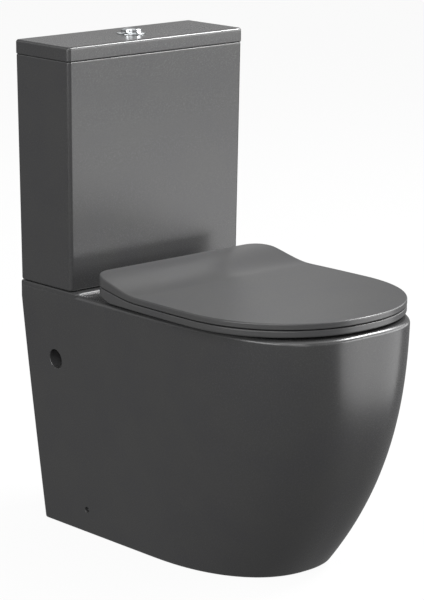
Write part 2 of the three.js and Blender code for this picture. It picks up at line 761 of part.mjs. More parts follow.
const seatLidGeometry = () => {
  const shape = loft([
    ...[0.35, 0.7, 0.86].map((scale) => shrunk(2, scale, lidBottom)),
    seatRing(2, lidBottom),
    seatRing(0, (d) => lidBottom(d) + 1.5),
    seatRing(0, (d) => lidUp(d) - 2.5),
    seatRing(0.8, (d) => lidUp(d) - 0.7),
    seatRing(3, lidUp),
    ...[0.93, 0.86, 0.78, 0.7, 0.6, 0.3].map((scale) => shrunk(3, scale, lidUp)),
  ]);
  const under = (d) => lidUp(d) - LID_SKIN;
  const recess = loft([
    seatRing(LID_RIM, () => SEAT.lidBottom - 4),
    seatRing(LID_RIM, under),
    ...[0.9, 0.78, 0.65, 0.35].map((scale) => shrunk(LID_RIM, scale, under)),
  ]);
  const cuts = [recess];
  const lugs = [];
  const bores = [];
  const axisY = fromWall(HINGE.fromWall);
  SIDES.forEach(([, s]) => {
    const back = fromWall(SEAT.rear - 5);
    cuts.push(block(...span(s, 62, HINGE_NOTCH.to), axisY - 19, back, 430, 469));
    lugs.push(block(...span(s, 47, 61), axisY - 8, axisY + 8, HINGE.z - 8, 471));
    bores.push(crossBar(HINGE.pin + HINGE.clear, ...span(s, 40, 66), axisY, HINGE.z));
  });
  return cut(join(cut(shape, ...cuts), ...lugs), ...bores);
};

node('seat_ring', FINISH.seat, seatRingGeometry());
node('seat_lid', FINISH.seat, seatLidGeometry());

[['front', 68, 596], ['rear', 158, 330]].forEach(([place, x, d]) => {
  SIDES.forEach(([side, s]) => {
    node(`seat_buffer_${place}_${side}`, FINISH.rubber,
      drum(6, PAN.rim + GAP, SEAT.ringBottom - GAP, 12), s * x, fromWall(d));
  });
});

SIDES.forEach(([side, s]) => {
  node(`lid_buffer_${side}`, FINISH.rubber,
    drum(5, SEAT.ringTop + GAP, SEAT.lidTop - LID_SKIN - GAP, 12), s * 112, fromWall(540));
});

// ---- seat hinges: post and cover on the deck, damped pin, stud, and flanged nut under the deck

const hingePost = () => {
  const low = PAN.rim + 3.3;
  const body = turned([[0, low], [HINGE.post, low], [HINGE.post, HINGE.z + 7],
    [HINGE.post - 3, HINGE.z + 10], [0, HINGE.z + 10]], 20);
  return cut(body, crossBar(HINGE.pin + HINGE.clear, -30, 30, 0, HINGE.z));
};

SIDES.forEach(([side, s]) => {
  const x = s * HINGE.x;
  const y = fromWall(HINGE.fromWall);
  node(`hinge_cover_${side}`, FINISH.chrome,
    turned([[4.8, PAN.rim + GAP], [HINGE.cover, PAN.rim + GAP], [HINGE.cover - 1, PAN.rim + 3],
      [4.8, PAN.rim + 3]]), x, y);
  node(`hinge_post_${side}`, FINISH.chrome, hingePost(), x, y);
  node(`hinge_pin_${side}`, FINISH.greyPlastic,
    crossBar(HINGE.pin, ...span(s, -31, 33), 0, HINGE.z), x, y);
  node(`seat_stud_${side}`, FINISH.steel, drum(4, deckUnder - 38, PAN.rim + 3, 16), x, y);
  node(`seat_nut_${side}`, FINISH.whitePlastic,
    turned([[4.5, deckUnder - 16], [11, deckUnder - 16], [11, deckUnder - 5], [15, deckUnder - 2],
      [15, deckUnder - GAP], [4.5, deckUnder - GAP]], 16), x, y);
});

// ---- floor fixings inside the shroud, screwed through its sides, and the outlet seal

const floorBracket = (s) => {
  const outer = FIXING.wallInside - 7;
  const plate = block(...span(s, outer - 38, outer), -15, 15, 0, 4);
  const upright = block(...span(s, outer - 4, outer), -15, 15, 0, 62);
  const hole = crossBar(3.1, -200, 200, 0, FIXING.z, 12);
  const anchor = drum(4.5, -5, 10, 16).translate(s * (outer - 22), 0, 0);
  return cut(join(plate, upright), hole, anchor);
};

SIDES.forEach(([side, s]) => {
  const y = fromWall(FIXING.fromWall);
  node(`floor_bracket_${side}`, FINISH.steel, floorBracket(s), 0, y);
  node(`side_screw_${side}`, FINISH.steel,
    screwDown(4.4, 2.7, -24, 5).rotateY((s * Math.PI) / 2), s * 132, y, FIXING.z);
});

node('outlet_seal', FINISH.rubber,
  ring(TRAP.bore + TRAP.wall + 1, TRAP.bore + TRAP.wall + 9, -9, 9, 20)
    .rotateX(Math.PI / 2), 0, fromWall(42), 180);

export default toilet;
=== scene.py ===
"""Looks of a close coupled toilet: glazed pan and cistern, soft-close seat, dual flush button."""
import json
import logging
import math
from dataclasses import dataclass
from enum import Enum
from typing import Callable, Sequence

import bpy
import numpy as np
from mathutils import Matrix, Vector


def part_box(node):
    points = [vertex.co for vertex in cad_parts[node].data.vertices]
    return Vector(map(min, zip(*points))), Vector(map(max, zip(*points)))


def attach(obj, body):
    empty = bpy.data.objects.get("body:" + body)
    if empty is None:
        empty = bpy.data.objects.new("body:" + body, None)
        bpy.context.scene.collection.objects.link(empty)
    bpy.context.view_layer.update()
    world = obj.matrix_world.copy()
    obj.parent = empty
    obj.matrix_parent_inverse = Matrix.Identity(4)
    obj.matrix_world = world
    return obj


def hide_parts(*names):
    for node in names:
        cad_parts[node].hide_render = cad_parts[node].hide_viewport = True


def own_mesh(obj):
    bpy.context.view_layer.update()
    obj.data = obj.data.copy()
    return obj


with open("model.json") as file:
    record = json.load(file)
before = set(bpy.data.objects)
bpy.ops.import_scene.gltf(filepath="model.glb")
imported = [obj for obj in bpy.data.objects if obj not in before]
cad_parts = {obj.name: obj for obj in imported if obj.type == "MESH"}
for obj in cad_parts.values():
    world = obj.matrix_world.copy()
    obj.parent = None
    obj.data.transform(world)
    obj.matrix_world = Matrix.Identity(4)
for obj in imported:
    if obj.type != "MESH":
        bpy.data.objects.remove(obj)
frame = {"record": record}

log = logging.getLogger("toilet")

Array = np.ndarray
Node = bpy.types.Node
Piece = bpy.types.Object

METRE = 0.001  # millimetres to metres
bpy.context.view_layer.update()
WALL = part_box("pan")[1][1] / METRE
GAP = 0.3  # between pieces that touch, in millimetres
X_AXIS = np.array([1.0, 0.0, 0.0])
Y_AXIS = np.array([0.0, 1.0, 0.0])
Z_AXIS = np.array([0.0, 0.0, 1.0])
SIDES = {"left": -1, "right": 1}
SLOT_OF = {part["node"]: part["material_slot"] for part in frame["record"]["subparts"]}
BODY_OF = {node: body for body, nodes in frame["record"]["behaviour"]["bodies"].items() for node in nodes}


# ------------------------------------------------------------------ numbers and curves


def mix(low: float, high: float, share: Array | float) -> Array | float:
    """Value between low and high at a share from 0 to 1."""
    return low + (high - low) * share


def ease(share: Array | float) -> Array | float:
    """Smooth step from 0 to 1: three times the square less twice the cube."""
    t = np.clip(share, 0.0, 1.0)
    return t * t * (3.0 - 2.0 * t)


def swell(up: float, power: float) -> float:
    """How far a side has swelled from its foot, quickly at first and slower near the top."""
    return 1.0 - (1.0 - up) ** power


def quarter(radius: float, steps: int = 8) -> Array:
    """Quarter round of an edge.

    Args:
        radius: radius of the round in millimetres.
        steps: number of steps along it.

    Returns:
        Rows of (drawn in, risen), from (0, 0) up to (radius, radius).
    """
    angle = np.linspace(0.0, math.pi / 2, steps + 1)
    return radius * np.stack([1.0 - np.cos(angle), np.sin(angle)], axis=1)


def evenly(points: Array, count: int) -> Array:
    """Points at equal lengths along an open line.

    Args:
        points: the line, one row each.
        count: how many points come back, both ends included.

    Returns:
        The new points, one row each.
    """
    steps = np.linalg.norm(np.diff(points, axis=0), axis=1)
    length = np.concatenate([[0.0], np.cumsum(steps)])
    at = np.linspace(0.0, length[-1], count)
    return np.stack([np.interp(at, length, column) for column in points.T], axis=1)


def rounded(corners: Sequence[tuple[float, float, float]], steps: int = 5) -> Array:
    """Outline whose corners are arcs that touch both of their sides.

    Args:
        corners: (across, up, radius of the round) of each corner, in order.
        steps: number of steps along each arc.

    Returns:
        The outline's points, one row each.
    """
    spots = np.array([corner[:2] for corner in corners], float)
    line = []
    for i, (_, _, radius) in enumerate(corners):
        spot = spots[i]
        if radius <= 0:
            line.append(spot[None])
            continue
        back, ahead = spots[i - 1] - spot, spots[(i + 1) % len(spots)] - spot
        back_length, ahead_length = np.linalg.norm(back), np.linalg.norm(ahead)
        back, ahead = back / back_length, ahead / ahead_length
        half = math.acos(np.clip(back @ ahead, -1.0, 1.0)) / 2
        reach = min(radius / math.tan(half), 0.49 * back_length, 0.49 * ahead_length)
        middle = (back + ahead) / np.linalg.norm(back + ahead)
        centre = spot + middle * reach / math.cos(half)
        turn = math.pi - 2 * half
        share = np.linspace(0.0, 1.0, steps + 1)[:, None]
        start, end = spot + back * reach - centre, spot + ahead * reach - centre
        arc = (np.sin((1 - share) * turn) * start + np.sin(share * turn) * end) / math.sin(turn)
        line.append(centre + arc)
    return np.vstack(line)


def cubic_through(knots: Array, steps: int) -> Array:
    """Centripetal Catmull-Rom curve through knots: each stretch blends the lines through its
    four nearest knots, which are spaced by the square roots of their distances.

    Args:
        knots: the points that the curve goes through, one row each.
        steps: number of steps in each stretch.

    Returns:
        Points along the curve, one row each.
    """
    ends = np.vstack([2 * knots[0] - knots[1], knots, 2 * knots[-1] - knots[-2]])
    spans = np.sqrt(np.linalg.norm(np.diff(ends, axis=0), axis=1))
    when = np.concatenate([[0.0], np.cumsum(spans)])
    line = []
    for i in range(len(knots) - 1):
        p, t = ends[i : i + 4], when[i : i + 4]
        at = np.linspace(t[1], t[2], steps, endpoint=False)[:, None]
        a = [((t[k + 1] - at) * p[k] + (at - t[k]) * p[k + 1]) / (t[k + 1] - t[k]) for k in range(3)]
        b = [((t[k + 2] - at) * a[k] + (at - t[k]) * a[k + 1]) / (t[k + 2] - t[k]) for k in range(2)]
        line.append(((t[2] - at) * b[0] + (at - t[1]) * b[1]) / (t[2] - t[1]))
    return np.vstack([*line, knots[-1:]])


# ------------------------------------------------------------------ skins and pieces


@dataclass
class Skin:
    """Closed skin in millimetres: its points and its faces, in blocks of three or four corners."""

    points: Array
    faces: list[Array]

    def moved(self, x: float = 0.0, y: float = 0.0, z: float = 0.0) -> "Skin":
        """The same skin, shifted."""
        return Skin(self.points + np.array([x, y, z]), self.faces)

    def aimed(self, axis: Array, origin: Array) -> "Skin":
        """The skin turned so that its +Z points along an axis, then put at an origin.

        Args:
            axis: direction that +Z turns to.
            origin: where the origin goes, in millimetres.

        Returns:
            The turned and shifted skin.
        """
        up = axis / np.linalg.norm(axis)
        side = np.cross(Z_AXIS if abs(up[2]) < 0.9 else X_AXIS, up)
        side /= np.linalg.norm(side)
        turn = np.stack([side, np.cross(up, side), up])
        return Skin(self.points @ turn + origin, self.faces)


def loft(rings: Array, loop: bool = False, poles: Array | None = None) -> Skin:
    """Skin over a stack of rings, each anticlockwise seen from above and listed upwards.

    Args:
        rings: ring, point and coordinate, in millimetres.
        loop: whether the last ring meets the first, as round a tyre.
        poles: the middles of the two end faces; otherwise the middles of the end rings.

    Returns:
        The closed skin.
    """
    rows, count = rings.shape[:2]
    index = np.arange(rows * count).reshape(rows, count)
    low = index if loop else index[:-1]
    high = np.roll(index, -1, axis=0) if loop else index[1:]
    quads = np.stack([low, np.roll(low, -1, 1), np.roll(high, -1, 1), high], axis=-1)
    points = rings.reshape(-1, 3)
    if loop:
        return Skin(points, [quads.reshape(-1, 4)])
    hubs = rings[[0, -1]].mean(axis=1) if poles is None else poles
    first, last = index[0], index[-1]
    hub = np.full(count, rows * count)
    under = np.stack([hub, np.roll(first, -1), first], axis=-1)
    over = np.stack([hub + 1, last, np.roll(last, -1)], axis=-1)
    return Skin(np.vstack([points, hubs]), [quads.reshape(-1, 4), under, over])


@dataclass(frozen=True)
class Thread:
    """Screw thread cut into a turned piece between two heights, all in millimetres."""

    low: float
    high: float
    pitch: float
    depth: float

    def cut_into(self, radius: Array, height: Array, angle: Array) -> Array:
        """Radius less a triangle wave that climbs one pitch each turn and fades at both ends.

        Args:
            radius: radius of the bare shank at each point.
            height: height of each point.
            angle: angle of each point about the axis.

        Returns:
            The radius of each point, with the groove cut.
        """
        phase = (height / self.pitch - angle / (2 * math.pi)) % 1.0
        groove = np.abs(2 * phase - 1)
        fade = ease((height - self.low) / self.pitch) * ease((self.high - height) / self.pitch)
        shank = radius >= radius[(height > self.low) & (height < self.high)].max() - 0.01
        return radius - self.depth * groove * fade * shank


def turned(profile: Array, sides: int = 64, thread: Thread | None = None) -> Skin:
    """Solid of revolution about +Z.

    Args:
        profile: rows of (radius, height), anticlockwise with the radius to the right. It starts
            and ends on the axis, or it is closed here into a ring.
        sides: number of points round it.
        thread: a screw thread to cut into its outside.

    Returns:
        The closed skin.
    """
    if thread:
        pieces = []
        for start, end in zip(profile[:-1], profile[1:]):
            inside = min(start[1], end[1]) < thread.high and max(start[1], end[1]) > thread.low
            steps = max(1, int(abs(end[1] - start[1]) / thread.pitch * 8)) if inside else 1
            pieces.append(mix(start, end, np.arange(steps)[:, None] / steps))
        profile = np.vstack([*pieces, profile[-1:]])
    solid = profile[0][0] <= 0
    rows = profile[1:-1] if solid else profile
    angle = np.linspace(0.0, 2 * math.pi, sides, endpoint=False)[None, :]
    radius, height = rows[:, :1] + 0 * angle, rows[:, 1:] + 0 * angle
    if thread:
        radius = thread.cut_into(radius, height, angle)
    rings = np.stack([radius * np.cos(angle), radius * np.sin(angle), height], axis=-1)
    if not solid:
        return loft(rings, loop=True)
    return loft(rings, poles=np.array([[0, 0, profile[0][1]], [0, 0, profile[-1][1]]], float))


def drum(radius: float, low: float, high: float, edge: float = 0.0, sides: int = 64) -> Skin:
    """Upright cylinder with rounded edges."""
    corners = [(0, low, 0), (radius, low, edge), (radius, high, edge), (0, high, 0)]
    return turned(rounded(corners), sides)


def collar(inner: float, outer: float, low: float, high: float, edge: float = 0.3,
           sides: int = 64) -> Skin:
    """Upright ring of rectangular section with rounded edges."""
    corners = [(inner, low, edge), (outer, low, edge), (outer, high, edge), (inner, high, edge)]
    return turned(rounded(corners, 3), sides)


def flatted(skin: Skin, apothem: float, flats: int) -> Skin:
    """A turned skin cut to flats: no point lies further out than a regular polygon.

    Args:
        skin: a skin about the Z axis.
        apothem: distance of the flats from the axis.
        flats: how many there are.

    Returns:
        The skin with flats.
    """
    x, y, z = skin.points.T
    radius, angle = np.hypot(x, y), np.arctan2(y, x) - math.pi / 2
    sector = 2 * math.pi / flats
    limit = apothem / np.cos(angle % sector - sector / 2)
    kept = np.minimum(radius, limit) / np.maximum(radius, 1e-9)
    return Skin(np.stack([x * kept, y * kept, z], axis=1), skin.faces)


def block(x: tuple[float, float], y: tuple[float, float], z: tuple[float, float]) -> Skin:
    """Box between two values of each coordinate, used to cut with.

    Args:
        x: low and high x.
        y: low and high y.
        z: low and high z.

    Returns:
        The closed skin.
    """
    corners = np.array([[x[0], y[0]], [x[1], y[0]], [x[1], y[1]], [x[0], y[1]]])
    rings = np.array([[[*corner, height] for corner in corners] for height in z])
    return loft(rings)


def tube(path: Array, radius: float, sides: int, across: Array) -> Skin:
    """Round tube along a path: circles square to the path, set out from a fixed direction.

    Args:
        path: points in millimetres, one row each.
        radius: radius of the tube.
        sides: number of points round it.
        across: a direction that the path never follows.

    Returns:
        The closed skin.
    """
    along = np.gradient(path, axis=0)
    along /= np.linalg.norm(along, axis=1, keepdims=True)
    side = np.cross(across, along)
    side /= np.linalg.norm(side, axis=1, keepdims=True)
    other = np.cross(along, side)
    angle = np.linspace(0.0, 2 * math.pi, sides, endpoint=False)
    spokes = (np.cos(angle)[None, :, None] * side[:, None] + np.sin(angle)[None, :, None] * other[:, None])
    return loft(path[:, None] + radius * spokes, poles=path[[0, -1]])


def mirrored(half: Array, height: Array) -> Array:
    """Full ring from its half on the +X side.

    Args:
        half: rows of (x, distance from the wall), from the wall's end to the front, whose first
            and last points may lie on the middle plane.
        height: height of each of those points.

    Returns:
        The ring's points, anticlockwise seen from above.
    """
    right = np.stack([half[:, 0], WALL - half[:, 1], height], axis=1)
    inner = np.abs(right[:, 0]) > 1e-6
    left = right * np.array([-1.0, 1.0, 1.0])
    return np.vstack([left, right[inner][::-1]])


def translation(x: float, y: float, z: float = 0.0) -> Matrix:
    """Matrix that shifts by millimetres."""
    return Matrix.Translation((x * METRE, y * METRE, z * METRE))


def new_piece(name: str, skin: Skin) -> Piece:
    """A Blender object made of a skin, in metres, at the origin.

    Args:
        name: its name.
        skin: its surface in millimetres.

    Returns:
        The piece, in metres.
    """
    mesh = bpy.data.meshes.new(name)
    faces = [corner for part in skin.faces for corner in part.tolist()]
    mesh.from_pydata((skin.points * METRE).tolist(), [], faces)
    mesh.update()
    piece = bpy.data.objects.new(name, mesh)
    bpy.context.scene.collection.objects.link(piece)
    return piece


def settle(piece: Piece) -> None:
    """Applies a piece's modifiers to its mesh.

    Args:
        piece: the piece to settle.
    """
    graph = bpy.context.evaluated_depsgraph_get()
    mesh = bpy.data.meshes.new_from_object(piece.evaluated_get(graph))
    piece.modifiers.clear()
    piece.data = mesh


class Work(Enum):
    """What is done to a piece with another closed skin."""

    ADD = "UNION"
    TAKE = "DIFFERENCE"


def worked(piece: Piece, steps: Sequence[tuple[Work, Skin | Piece]]) -> Piece:
    """Adds and takes away closed skins, one after another.

    Args:
        piece: the piece to change.
        steps: what is done, and with which skin or piece, which is used up.

    Returns:
        The same piece.
    """
    tools = []
    for number, (work, shape) in enumerate(steps):
        tool = new_piece(f"{piece.name}_tool_{number}", shape) if isinstance(shape, Skin) else shape
        modifier = piece.modifiers.new(tool.name, "BOOLEAN")
        modifier.operation = work.value
        modifier.solver = "MANIFOLD"
        modifier.object = tool
        tools.append(tool)
    bpy.context.view_layer.update()
    settle(piece)
    for tool in tools:
        bpy.data.objects.remove(tool)
    return piece


def shade(piece: Piece, crease: float = 35.0) -> Piece:
    """Shades a piece smooth over its rounds and flat over its flats.

    Args:
        piece: the piece.
        crease: angle in degrees from which an edge stays sharp.

    Returns:
        The same piece.
    """
    mesh = piece.data
    mesh.polygons.foreach_set("use_smooth", np.ones(len(mesh.polygons), bool))
    mesh.set_sharp_from_angle(angle=math.radians(crease))
    modifier = piece.modifiers.new("flats", "WEIGHTED_NORMAL")
    modifier.keep_sharp = True
    modifier.weight = 90
    return piece


# ------------------------------------------------------------------ finishes


def linear(colour: str) -> tuple[float, float, float, float]:
    """Linear red, green, blue and alpha of an sRGB hex colour.

    Args:
        colour: sRGB colour as #RRGGBB.

    Returns:
        Linear red, green, blue and alpha.
    """
    channels = [int(colour[i : i + 2], 16) / 255 for i in (1, 3, 5)]
    red, green, blue = (c / 12.92 if c <= 0.04045 else ((c + 0.055) / 1.055) ** 2.4 for c in channels)
    return red, green, blue, 1.0


def per(size: float) -> float:
    """Scale of a texture on Object coordinates whose features are this many millimetres across."""
    return 1.0 / (size * METRE)


def add_node(tree: bpy.types.NodeTree, kind: str, inputs: dict | None = None, **settings: object) -> Node:
    """Adds a shader node, sets it up and fills its inputs.

    Args:
        tree: the material's node tree.
        kind: the node's type.
        inputs: a value or another node's output for each named input.
        settings: the node's own properties.

    Returns:
        The new node.
    """
    node = tree.nodes.new(kind)
    for name, value in settings.items():
        setattr(node, name, value)
    for name, value in (inputs or {}).items():
        if isinstance(value, bpy.types.NodeSocket):
            tree.links.new(value, node.inputs[name])
        else:
            node.inputs[name].default_value = value
    return node


@dataclass(frozen=True)
class Finish:
    """A finish made of a clouded colour, a speckled roughness and two sizes of relief.

    Colours are sRGB hex. The sizes of clouds, speckle, waves and grain, and the heights of the
    waves and the grain, are millimetres.
    """

    name: str
    colour: str
    cloud_colour: str
    cloud: float
    speckle: float
    roughness: tuple[float, float]
    wave: float
    wave_height: float
    grain: float
    grain_height: float
    metallic: float = 0.0
    ior: float = 1.5
    coat: float = 0.0
    stretch: tuple[float, float, float] = (1.0, 1.0, 1.0)

    def material(self) -> bpy.types.Material:
        """The finish as a material, made once.

        Returns:
            The material.
        """
        if self.name in bpy.data.materials:
            return bpy.data.materials[self.name]
        made = bpy.data.materials.new(self.name)
        made.use_nodes = True
        tree = made.node_tree
        tree.nodes.clear()
        place = add_node(tree, "ShaderNodeTexCoord").outputs["Object"]
        place = add_node(tree, "ShaderNodeMapping", {"Vector": place, "Scale": self.stretch}).outputs[0]
        shader = add_node(tree, "ShaderNodeBsdfPrincipled", {
            "Base Color": self.tint(tree, place),
            "Roughness": self.gloss(tree, place),
            "Normal": self.relief(tree, place),
            "Metallic": self.metallic,
            "Coat Weight": self.coat,
            "Coat Roughness": 0.12,
        })
        if not self.metallic:
            shader.inputs["IOR"].default_value = self.ior
        add_node(tree, "ShaderNodeOutputMaterial", {"Surface": shader.outputs[0]})
        return made

    def tint(self, tree: bpy.types.NodeTree, place: bpy.types.NodeSocket) -> bpy.types.NodeSocket:
        """Colour: soft clouds between the two colours.

        Args:
            tree: node tree of the material.
            place: where on the piece, in metres.

        Returns:
            The colour output.
        """
        cloud = add_node(tree, "ShaderNodeTexNoise", {
            "Vector": place, "Scale": per(self.cloud), "Detail": 4.0,
        })
        share = add_node(tree, "ShaderNodeMapRange", {
            "Value": cloud.outputs["Fac"], "From Min": 0.35, "From Max": 0.65,
        })
        blend = add_node(tree, "ShaderNodeMix", {"Factor": share.outputs[0]}, data_type="RGBA")
        blend.inputs[6].default_value = linear(self.colour)
        blend.inputs[7].default_value = linear(self.cloud_colour)
        return blend.outputs[2]

    def gloss(self, tree: bpy.types.NodeTree, place: bpy.types.NodeSocket) -> bpy.types.NodeSocket:
        """Roughness: fine speckle between the two values.

        Args:
            tree: node tree of the material.
            place: where on the piece, in metres.

        Returns:
            The roughness output.
        """
        speckle = add_node(tree, "ShaderNodeTexNoise", {
            "Vector": place, "Scale": per(self.speckle), "Detail": 3.0,
        })
        span = add_node(tree, "ShaderNodeMapRange", {
            "Value": speckle.outputs["Fac"], "From Min": 0.3, "From Max": 0.7,
            "To Min": self.roughness[0], "To Max": self.roughness[1],
        })
        return span.outputs[0]

    def relief(self, tree: bpy.types.NodeTree, place: bpy.types.NodeSocket) -> bpy.types.NodeSocket:
        """Relief: long waves with a fine grain over them.

        Args:
            tree: node tree of the material.
            place: where on the piece, in metres.

        Returns:
            The normal output.
        """
        wave = add_node(tree, "ShaderNodeTexNoise", {
            "Vector": place, "Scale": per(self.wave), "Detail": 1.0,
        })
        grain = add_node(tree, "ShaderNodeTexNoise", {
            "Vector": place, "Scale": per(self.grain), "Detail": 2.0,
        })
        low = add_node(tree, "ShaderNodeBump", {
            "Height": wave.outputs["Fac"], "Strength": 1.0, "Distance": self.wave_height * METRE,
        })
        high = add_node(tree, "ShaderNodeBump", {
            "Height": grain.outputs["Fac"], "Strength": 1.0, "Distance": self.grain_height * METRE,
            "Normal": low.outputs[0],
        })
        return high.outputs[0]


# Satin charcoal glaze, sprayed on vitreous china and fired: blurred reflections, faint clouds
# where the spray overlapped, a slight orange peel and a fine matt crystal speckle
GLAZE = Finish(
    "satin_charcoal_glaze", "#3A3A3A", "#383839", cloud=70, speckle=1.2, roughness=(0.23, 0.29),
    wave=14, wave_height=0.02, grain=1.1, grain_height=0.003, ior=1.52,
)
# Urea moulding in the same charcoal, lightly textured mould: even satin, hardly any waves
SEAT_PLASTIC = Finish(
    "moulded_urea_charcoal", "#424242", "#404041", cloud=90, speckle=1.5, roughness=(0.28, 0.34),
    wave=40, wave_height=0.01, grain=1.2, grain_height=0.0015, ior=1.5,
)
# Bright chrome on moulded ABS: mirror reflections, faint water haze
CHROME = Finish(
    "chrome_plated_abs", "#DDE0E2", "#D2D6D8", cloud=6, speckle=3, roughness=(0.04, 0.09),
    wave=9, wave_height=0.004, grain=1.5, grain_height=0.0004, metallic=1.0,
)
# Stainless steel, turned and tumbled: soft streaks
STEEL = Finish(
    "turned_stainless_steel", "#B9BABC", "#A6A8AA", cloud=5, speckle=0.8, roughness=(0.22, 0.38),
    wave=3, wave_height=0.004, grain=0.5, grain_height=0.004, metallic=1.0, stretch=(1.0, 1.0, 5.0),
)
# Hot-pressed brass, a little tarnished: warm, with darker patches
BRASS = Finish(
    "pressed_brass", "#B9965A", "#9A7842", cloud=5, speckle=1.2, roughness=(0.24, 0.42),
    wave=4, wave_height=0.02, grain=0.7, grain_height=0.01, metallic=1.0,
)
# Moulded EPDM rubber: nearly matt, greyish bloom in patches
RUBBER = Finish(
    "moulded_epdm_rubber", "#1C1C1D", "#262627", cloud=9, speckle=1.4, roughness=(0.62, 0.8),
    wave=6, wave_height=0.02, grain=0.8, grain_height=0.02, ior=1.52,
)
# Moulded ABS and polypropylene of the valves: slight flow marks and a sheen
WHITE_ABS = Finish(
    "moulded_white_abs", "#E6E5E0", "#DDDCD6", cloud=14, speckle=1.5, roughness=(0.34, 0.46),
    wave=12, wave_height=0.02, grain=0.8, grain_height=0.006, ior=1.53,
)
BLUE_PP = Finish(
    "moulded_blue_polypropylene", "#3A6A9E", "#355F92", cloud=12, speckle=1.5, roughness=(0.38, 0.5),
    wave=12, wave_height=0.02, grain=0.8, grain_height=0.008, ior=1.49,
)
GREY_PP = Finish(
    "moulded_grey_polypropylene", "#77797C", "#6D6F73", cloud=12, speckle=1.5, roughness=(0.4, 0.52),
    wave=12, wave_height=0.02, grain=0.8, grain_height=0.008, ior=1.49,
)

SLOT_FINISHES = {
    "glaze": GLAZE, "seat": SEAT_PLASTIC, "chrome": CHROME, "steel": STEEL, "brass": BRASS,
    "rubber": RUBBER, "white_plastic": WHITE_ABS, "blue_plastic": BLUE_PP, "grey_plastic": GREY_PP,
}


def place_piece(piece: Piece, node: str, *others: str) -> Piece:
    """Dresses a finished piece and puts it in the frame in place of CAD nodes.

    Args:
        piece: the piece.
        node: the CAD node that it stands for, which gives its body and its material slot.
        others: more nodes that it stands for.

    Returns:
        The same piece.
    """
    shade(piece)
    piece.data.materials.clear()
    piece.data.materials.append(SLOT_FINISHES[SLOT_OF[node]].material())
    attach(piece, BODY_OF[node])
    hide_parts(node, *others)
    return piece


def place_skin(name: str, skin: Skin, node: str) -> Piece:
    """Makes a piece of a skin and puts it in place of a CAD node."""
    return place_piece(new_piece(name, skin), node)


# ------------------------------------------------------------------ pan


